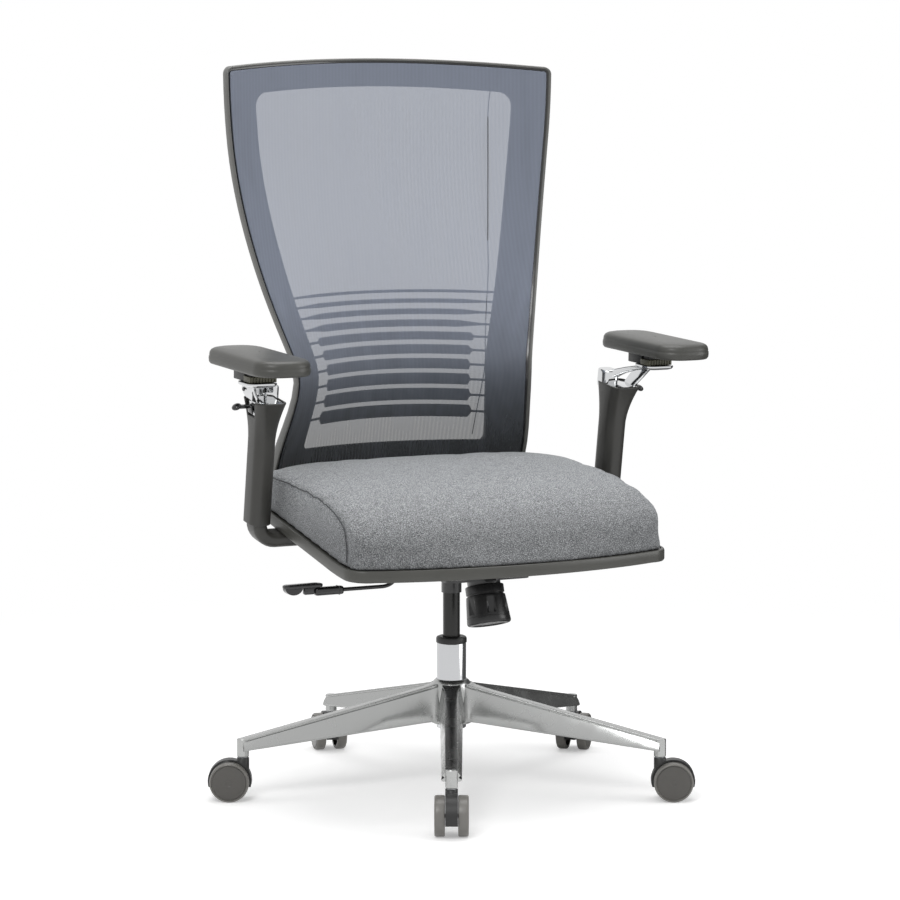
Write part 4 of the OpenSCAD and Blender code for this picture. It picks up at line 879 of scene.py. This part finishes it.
for side, hand in ((-1, "left"), (1, "right")):
    bm = bmesh.new()
    loft(bm, [post_ring(z, inset) for z, inset in (
        (50, 4.2), (51, 3.6), (128, 3.6), (142, 3.5), (158, 3.5), (170, 3.4), (180, 3.3), (187, 3.3), (189.5, 3.4),
        (191, 4.6), (191.5, 7))], caps=True)
    boss = rounded_rect(25, 32, 8)
    loft(bm, [[(x * s - 10, y * s + 8, z) for x, y in boss]
              for s, z in ((0.94, 184), (1, 190), (1, 208), (0.97, 210.4), (0.9, 211.4))], caps=True)
    bmesh.ops.transform(bm, matrix=arm_frame(side), verts=bm.verts)
    stacked(bm, side, [(-8, 30, 621, 29, 18), (-2, 24, 624, 27, 15), (5, 15, 628, 25, 11.5), (12, 6, 631.5, 24, 9.5),
                       (19, -4, 634, 25, 8), (26, -13, 636, 28, 7), (33, -22, 637, 32, 6)], band_section)
    stacked(bm, side, [(18, 13, 604, 5, 34), (23, 12, 612, 6, 38), (29, 9, 620, 6, 42), (34, 3, 629, 5.5, 44),
                       (37, -8, 637, 5, 42)], web_section)
    head = rounded_rect(48, 52, 12)
    loft(bm, [[(x * s + 1, y * s + 3, z) for x, y in head]
              for s, z in ((0.5, -26), (0.8, -25), (0.94, -23.6), (1, -21.6), (1, -19.2), (0.98, -18.6))], caps=True)
    bmesh.ops.transform(bm, matrix=pad_frame(side), verts=bm.verts[-6 * len(head):])
    screw = bmesh.ops.create_cone(bm, cap_ends=True, segments=24, radius1=3.2, radius2=2.6, depth=2.4)["verts"]
    bmesh.ops.transform(bm, matrix=shift(side * (ARM_X + 37), 15, 627) @ turn("Y", side * 78), verts=screw)
    for face in {f for v in screw for f in v.link_faces}:
        face.material_index = 1
    finish_piece(f"{hand}_chrome_bracket", bm, f"{hand}_arm", [chrome, black_enamel],
                 [f"{hand}_arm_bracket"], sharp=35)
    bm = bmesh.new()
    block(bm, (29.4, 90, 5.2), (0, 0, 2.3), 0.8)
    block(bm, (40, 40, 17.9), (0, 28, -9.1), 1.2)
    block(bm, (34, 30, 17.9), (0, 4, -9.1), 1.2)
    front = len(bm.faces)
    block(bm, (43, 24, 9), (0, -4, -13.5), 0.8)
    for k in range(9):
        block(bm, (2.4, 2.4, 8.4), (RIDGE_STEP * (k - 4), -16.2, -13.5), 0.6)
    bm.faces.ensure_lookup_table()
    for face in bm.faces[front:]:
        face.material_index = 1
    finish_piece(f"{hand}_pad_runner", bm, f"{hand}_slide", [black_nylon, slide_plastic],
                 [f"{hand}_pad_slide"], sharp=35, place=pad_frame(side))
    bm = bmesh.new()
    rings = []
    for inset, z, shrink in ((0, 0, 0.02), (0, 0, 0.5), (7, 0, 1), (2.4, 0.8, 1), (0.5, 3.6, 1), (0, 8, 1),
                             (0.3, 11.6, 1), (1.1, 12.6, 1), (0.8, 13.8, 1), (1.5, 18, 1), (3.6, 21.2, 1),
                             (7, 23.2, 1), (14, 24.6, 1), (0, 25.4, 0.6), (0, 25.8, 0.3), (0, PAD_TOP, 0.02)):
        plan = rounded_rect(PAD_W - 2 * inset, PAD_LEN - 2 * inset, 36 - inset * 0.8, arc=10)
        rings.append([(x * shrink, y * shrink, z) for x, y in plan])
    loft(bm, rings)
    pad = finish_piece(f"{hand}_pad_skin", bm, f"{hand}_pad", pad_skin, [f"{hand}_arm_pad"], sharp=60,
                       place=pad_frame(side))
print("pads crown to", PAD_TOP, "mm")

# %% [markdown]
# ## The back's curved surface
# The back narrows at the waist, opens towards the shoulders and wraps round the sitter. Three curves describe it: the
# half width at each height, how far back its edge lies, and how deep it bows in the middle. Every piece of the back,
# shell, seal, inner frame, ribs and net, is drawn on this one surface at its own depth, so they nest.

# %% Curves of the back
WAIST_Z, FOOT_Z, TOP_Z_MM = 625.0, 415.0, 1103.0
BORDER, WINDOW_FOOT, WINDOW_TOP = 57.0, 511.0, 1063.0
OUTER_R, FOOT_R = 12.0, 26.0
LIP, SEAL = 4.0, 2.4
INNER_INSET = LIP + SEAL + 0.6


def ease(t, k):
    return math.sin(math.radians(min(90, 90 * t * k))) * (1 - math.exp(-t / 0.07))


def back_half(z):
    if z > WAIST_Z:
        return 203 + 79 * ease((z - WAIST_Z) / (TOP_Z_MM - WAIST_Z), 1)
    return 203 + 16 * math.sin(math.radians(min(90, 90 * (WAIST_Z - z) / 145))) ** 2


def surface_y(x, z):
    if z > WAIST_Z:
        edge = 118 + 83 * ease((z - WAIST_Z) / (TOP_Z_MM - WAIST_Z), 1.3)
    else:
        edge = 118 + 0.47 * (math.sqrt((WAIST_Z - z) ** 2 + 35 ** 2) - 35)
    wrap = 60 + 35 * math.exp(-((z - WAIST_Z) / 130) ** 2)
    return edge + wrap * (1 - (x / back_half(z)) ** 2)


def shell_t(z):
    return 18 + 16 * max(0.0, min(1.0, (700 - z) / 250)) ** 2


def outline(inset, foot, top, crown, top_r, foot_r, rows=30):
    """Points round the back at an inset from its edge, as (x, z), with one corner radius at the top and one below."""
    foot, top = foot + inset, top - inset
    top_r, foot_r = max(top_r - inset, 4), max(foot_r - inset, 4)
    w = back_half(top - top_r) - inset
    wf = back_half(foot + foot_r) - inset
    half = [((wf - foot_r) * k / 12, foot) for k in range(1, 12)]
    half += [(wf - foot_r + foot_r * math.cos(a), foot + foot_r + foot_r * math.sin(a))
             for a in np.radians(np.linspace(-90, -8, 9))]
    half += [(back_half(z) - inset, z) for z in np.linspace(foot + foot_r, top - top_r, rows)]
    half += [(w - top_r + top_r * math.cos(a), top - top_r + top_r * math.sin(a))
             for a in np.radians(np.linspace(8, 82, 8))]
    half += [((w - top_r) * (1 - k / 12), top + crown * (1 - (1 - k / 12) ** 2)) for k in range(12)]
    return [(0, foot)] + half + [(0, top + crown)] + [(-x, z) for x, z in reversed(half)]


def outer(inset):
    return outline(inset, FOOT_Z, TOP_Z_MM, 13.0, OUTER_R, FOOT_R)


def window(inset):
    """The window's outline, as a share of the same points, at an inset from the window's own edge."""
    return outline(BORDER + inset, WINDOW_FOOT - BORDER, WINDOW_TOP + BORDER, 9.0, BORDER + 22.0, BORDER + 7.0)


print("half widths at foot, waist and top:", [round(back_half(z)) for z in (FOOT_Z, WAIST_Z, TOP_Z_MM)])

# %% [markdown]
# ## Shell, seal and inner frame
# Each is a closed section carried round the back: a loft whose sections go all the way round and meet the first one
# again. The shell wraps the edge and stands forward as a thin lip, the black seal fills the groove beside it, and the
# inner frame carries the net with a bevelled outer edge.

# %% Carry the sections round the back
def ring_piece(bm, profile):
    """Lofts a closed section round the back. profile is a list of (outline, depth), depth a number or a function."""
    sections = []
    for k in range(len(profile[0][0])):
        section = []
        for loop, depth in profile:
            x, z = loop[k]
            section.append((x, surface_y(x, z) + (depth(z) if callable(depth) else depth), z))
        sections.append(section)
    loft(bm, sections, ring_of_sections=True)


def between(share, near, far):
    """The outline at a share of the way from one outline to another."""
    return [(a[0] + (b[0] - a[0]) * share, a[1] + (b[1] - a[1]) * share) for a, b in zip(near, far)]


def behind(share, less=0.0):
    return lambda z: 6.3 + (shell_t(z) - 6.3) * share - less


bm = bmesh.new()
ring_piece(bm, [(outer(LIP), 6.4), (outer(LIP), 0.6), (outer(LIP - 0.5), -0.7), (outer(LIP - 1.4), -1.2),
                (outer(1.3), -1.1), (outer(0.4), -0.2), (outer(0), 1.4), (outer(0), behind(0.55)),
                (outer(1.2), behind(0.85)), (outer(4), behind(1))]
           + [(between(s, outer(4), window(-7)), behind(1)) for s in (0.2, 0.4, 0.6, 0.8)]
           + [(window(-7), behind(1)), (window(-4.6), behind(0.8)), (window(-4), behind(0.5)), (window(-4), 6.5)]
           + [(between(s, window(-4), outer(LIP)), 6.5) for s in (0.25, 0.5, 0.75)])
shell = finish_piece("back_rim_shell", bm, "back", shell_plastic, ["back_shell"], sharp=38)
bm = bmesh.new()
ring_piece(bm, [(outer(LIP + 0.2), 2.0), (outer(LIP + SEAL), 2.0), (outer(LIP + SEAL), 6.0), (outer(LIP + 0.2), 6.0)])
seal = finish_piece("net_edge_seal", bm, "back", gloss_black, ["edge_trim"], sharp=38)
print("shell faces:", len(shell.data.polygons), "seal faces:", len(seal.data.polygons))

# %% [markdown]
# ## Lumbar ribs
# Ten cross bars behind the net support the lower back. The lower ones are deep blocks with narrow necks, the upper
# ones slim blades that taper to their ends. Each is a strip of a grid, shaped by how tall the rib is at each point
# across, and given its thickness by extruding it backwards.

# %% Inner frame and ribs
bm = bmesh.new()
flat_from, flat_to = outer(INNER_INSET + 1.6), window(-1.2)
ring_piece(bm, [(outer(INNER_INSET), 1.6), (outer(INNER_INSET + 0.5), 0.5), (flat_from, 0.0)]
           + [(between(s, flat_from, flat_to), 0.0) for s in (0.14, 0.28, 0.42, 0.56, 0.7, 0.85)]
           + [(flat_to, 0.0), (window(-0.2), 0.6), (window(0), 2), (window(0), 6)]
           + [(between(s, window(0), outer(INNER_INSET)), 6) for s in (0.33, 0.67)] + [(outer(INNER_INSET), 6)])
RIBS, BLOCK_RIBS = 10, 6
for k in range(RIBS):
    share = k / (RIBS - 1)
    rise = 557 + 189 * (share + 0.3 * share * (1 - share))
    tall = 20 + (4.5 - 20) * share ** 1.25
    half = back_half(rise) - BORDER
    neck, start, step = (1.7, 22.0, 2.4) if k < BLOCK_RIBS else (1.6, 6.0, 46.0)
    strip = bmesh.new()
    bmesh.ops.create_grid(strip, x_segments=130, y_segments=2, size=1)
    for vert in strip.verts:
        u, side = vert.co.x, vert.co.y
        x = u * (half + 3)
        grow = max(0.0, min(1.0, (half - abs(x) - start) / step))
        grow = grow * grow * (3 - 2 * grow)
        z = rise + 4 * (1 - (x / half) ** 2) + side * (neck + (tall / 2 - neck) * grow)
        vert.co = (x, surface_y(x, z) + 0.1, z)
    back_faces = bmesh.ops.extrude_face_region(strip, geom=strip.faces[:])["geom"]
    bmesh.ops.translate(strip, vec=(0, 4.6, 0), verts=[g for g in back_faces if isinstance(g, bmesh.types.BMVert)])
    for face in strip.faces:
        face.material_index = 1
    add_part(bm, strip, Matrix.Identity(4))
inner = finish_piece("inner_frame_ribs", bm, "back", [inner_plastic, rib_plastic], ["lumbar_frame"],
                     sharp=35)
bm = bmesh.new()
join = softened([(193, 0, 1075), (187, 0, 1062), (172, 0, 790), (148, 0, 662), (140, 0, 600), (139, 0, 520)], 20)
sweep(bm, [(p.x, surface_y(p.x, p.z) + 0.35, p.z) for p in join], rounded_rect(1.5, 0.5, 0.2, arc=2))
finish_piece("net_join_tape", bm, "back", join_tape, sharp=60)
print("ribs:", RIBS, "faces:", len(inner.data.polygons))

# %% [markdown]
# ## The net
# One layer of elastic net is pulled over the inner frame and tucked into the groove round it. A grid is placed on the
# surface row by row, its rows closer together near the top and the foot so that the corners come out round, and its
# edge is extruded backwards twice to roll into the groove.

# %% Lay the net on the surface
def net_point(u, t):
    """u from -1 to 1 across, t from 0 at the foot to 1 at the top."""
    inset = INNER_INSET + 1.0
    foot, top = FOOT_Z + inset, TOP_Z_MM - inset
    z = foot + (top - foot) * t
    into, r = max((FOOT_R - inset - (z - foot), FOOT_R - inset), (OUTER_R - inset - (top - z), OUTER_R - inset))
    into = max(into, 0.0)
    x = u * (back_half(z) - inset - (r - math.sqrt(max(r * r - into * into, 0.0))))
    flat = back_half(top) - OUTER_R
    z += 13 * max(0.0, 1 - (x / flat) ** 2) * max(0.0, (z - (top - 90)) / 90) ** 2
    return x, z


net_rows = np.concatenate([[0, 0.001, 0.0045, 0.011, 0.02], np.linspace(0.03, 0.97, 60),
                           [0.98, 0.989, 0.9955, 0.999, 1]])
bm = bmesh.new()
bmesh.ops.create_grid(bm, x_segments=48, y_segments=len(net_rows) - 1, size=1)
for vert in bm.verts:
    t = float(np.interp((vert.co.y + 1) / 2, np.linspace(0, 1, len(net_rows)), net_rows))
    x, z = net_point(vert.co.x, t)
    vert.co = (x, surface_y(x, z) - 0.5, z)
for out, back in ((0.7, 0.5), (0.3, 1.6), (0.0, 2.4)):
    rim = [e for e in bm.edges if e.is_boundary]
    grown = bmesh.ops.extrude_edge_only(bm, edges=rim)["geom"]
    for vert in [g for g in grown if isinstance(g, bmesh.types.BMVert)]:
        outward = Vector((vert.co.x * 1.6, 0, vert.co.z - 760)).normalized()
        vert.co += outward * out + Vector((0, back, 0))
back_net = finish_piece("back_net", bm, "back", net, ["back_mesh"], sharp=180)
net_area = sum(p.area for p in back_net.data.polygons)
print("net area:", round(net_area, 4), "m2")

# %% [markdown]
# ## Studio
# A white sweep with soft light. The floor and the world are white only for camera, glossy and transmission rays, so
# the background is white and polished metal reflects a bright studio, while the lamps light the chair at a plain
# level and the floor still keeps its soft shadow. Away from the chair the floor is pure white, so that no horizon
# shows through the net. For glossy rays one side of the room is dark, floor and world alike, because a mirror in an
# all white room would vanish.

# %% Floor
DARK_SIDE = (0.974, 0.225, 0.0)


def lit_side(tree, way, darkest):
    """1 for directions away from the dark side of the room, falling to darkest towards it."""
    flag = add_node(tree, "ShaderNodeVectorMath", {0: way, 1: DARK_SIDE}, operation="DOT_PRODUCT").outputs["Value"]
    return remap(tree, flag, 1.0, darkest, 0.72, 0.84, "SMOOTHSTEP")


floor_bm = bmesh.new()
bmesh.ops.create_grid(floor_bm, x_segments=1, y_segments=1, size=14)
floor_mesh = bpy.data.meshes.new("floor")
floor_bm.to_mesh(floor_mesh)
floor_bm.free()
floor = bpy.data.objects.new("floor", floor_mesh)
bpy.context.collection.objects.link(floor)
paper, tree, shader, place = new_finish("white_paper_sweep", Roughness=0.95, Base_Color=linear("#F4F4F4"))
rays = add_node(tree, "ShaderNodeLightPath").outputs
seen = combine(tree, "MAXIMUM", rays["Is Camera Ray"], rays["Is Glossy Ray"])
seen = combine(tree, "MAXIMUM", seen, rays["Is Transmission Ray"])
reach = add_node(tree, "ShaderNodeVectorMath", {0: place}, operation="LENGTH").outputs["Value"]
towards = add_node(tree, "ShaderNodeVectorMath", {0: place}, operation="NORMALIZE").outputs["Vector"]
shown = add_node(tree, "ShaderNodeMix", {0: rays["Is Glossy Ray"], 2: 1.0, 3: lit_side(tree, towards, 0.1)},
                 data_type="FLOAT").outputs[0]
shader.inputs["Emission Color"].default_value = linear("#FFFFFF")
near = combine(tree, "MULTIPLY", combine(tree, "MULTIPLY", seen, 0.34), shown)
tree.links.new(near, shader.inputs["Emission Strength"])
far = combine(tree, "MULTIPLY", seen, remap(tree, reach, 0.0, 1.0, 0.7, 1.9, "SMOOTHSTEP"))
far = combine(tree, "MAXIMUM", far, combine(tree, "SUBTRACT", 1.0, shown))
white = add_node(tree, "ShaderNodeEmission", {"Strength": shown})
both = add_node(tree, "ShaderNodeMixShader", {0: far, 1: shader.outputs["BSDF"],
                                              2: white.outputs["Emission"]})
tree.links.new(both.outputs["Shader"], tree.nodes["Material Output"].inputs["Surface"])
floor_mesh.materials.append(paper)
print("floor laid")

# %% World and lamps
world = bpy.data.worlds.new("studio")
world.use_nodes = True
bpy.context.scene.world = world
tree = world.node_tree
sky = tree.nodes["Background"]
rays = add_node(tree, "ShaderNodeLightPath").outputs
way = add_node(tree, "ShaderNodeTexCoord").outputs["Generated"]
plain = add_node(tree, "ShaderNodeMix", {0: rays["Is Camera Ray"], 2: 0.5, 3: 1.0}, data_type="FLOAT")
level = add_node(tree, "ShaderNodeMix", {0: rays["Is Glossy Ray"], 2: plain.outputs[0],
                                         3: lit_side(tree, way, 0.12)}, data_type="FLOAT")
tree.links.new(level.outputs[0], sky.inputs["Strength"])
sky.inputs["Color"].default_value = linear("#FFFFFF")


def add_lamp(name, place, size, power, aim=(0, 0, 0.55)):
    lamp = bpy.data.objects.new(name, bpy.data.lights.new(name, "AREA"))
    lamp.data.shape, lamp.data.size, lamp.data.energy = "DISK", size, power
    lamp.location = place
    lamp.rotation_euler = (Vector(aim) - Vector(place)).to_track_quat("-Z", "Y").to_euler()
    bpy.context.collection.objects.link(lamp)
    return lamp


add_lamp("key", (-2.2, -2.2, 2.9), 1.6, 46)
add_lamp("fill", (2.9, -2.0, 1.4), 2.0, 26)
add_lamp("top", (0.2, 0.4, 3.2), 2.4, 42)
bpy.context.scene.view_settings.view_transform = "Standard"
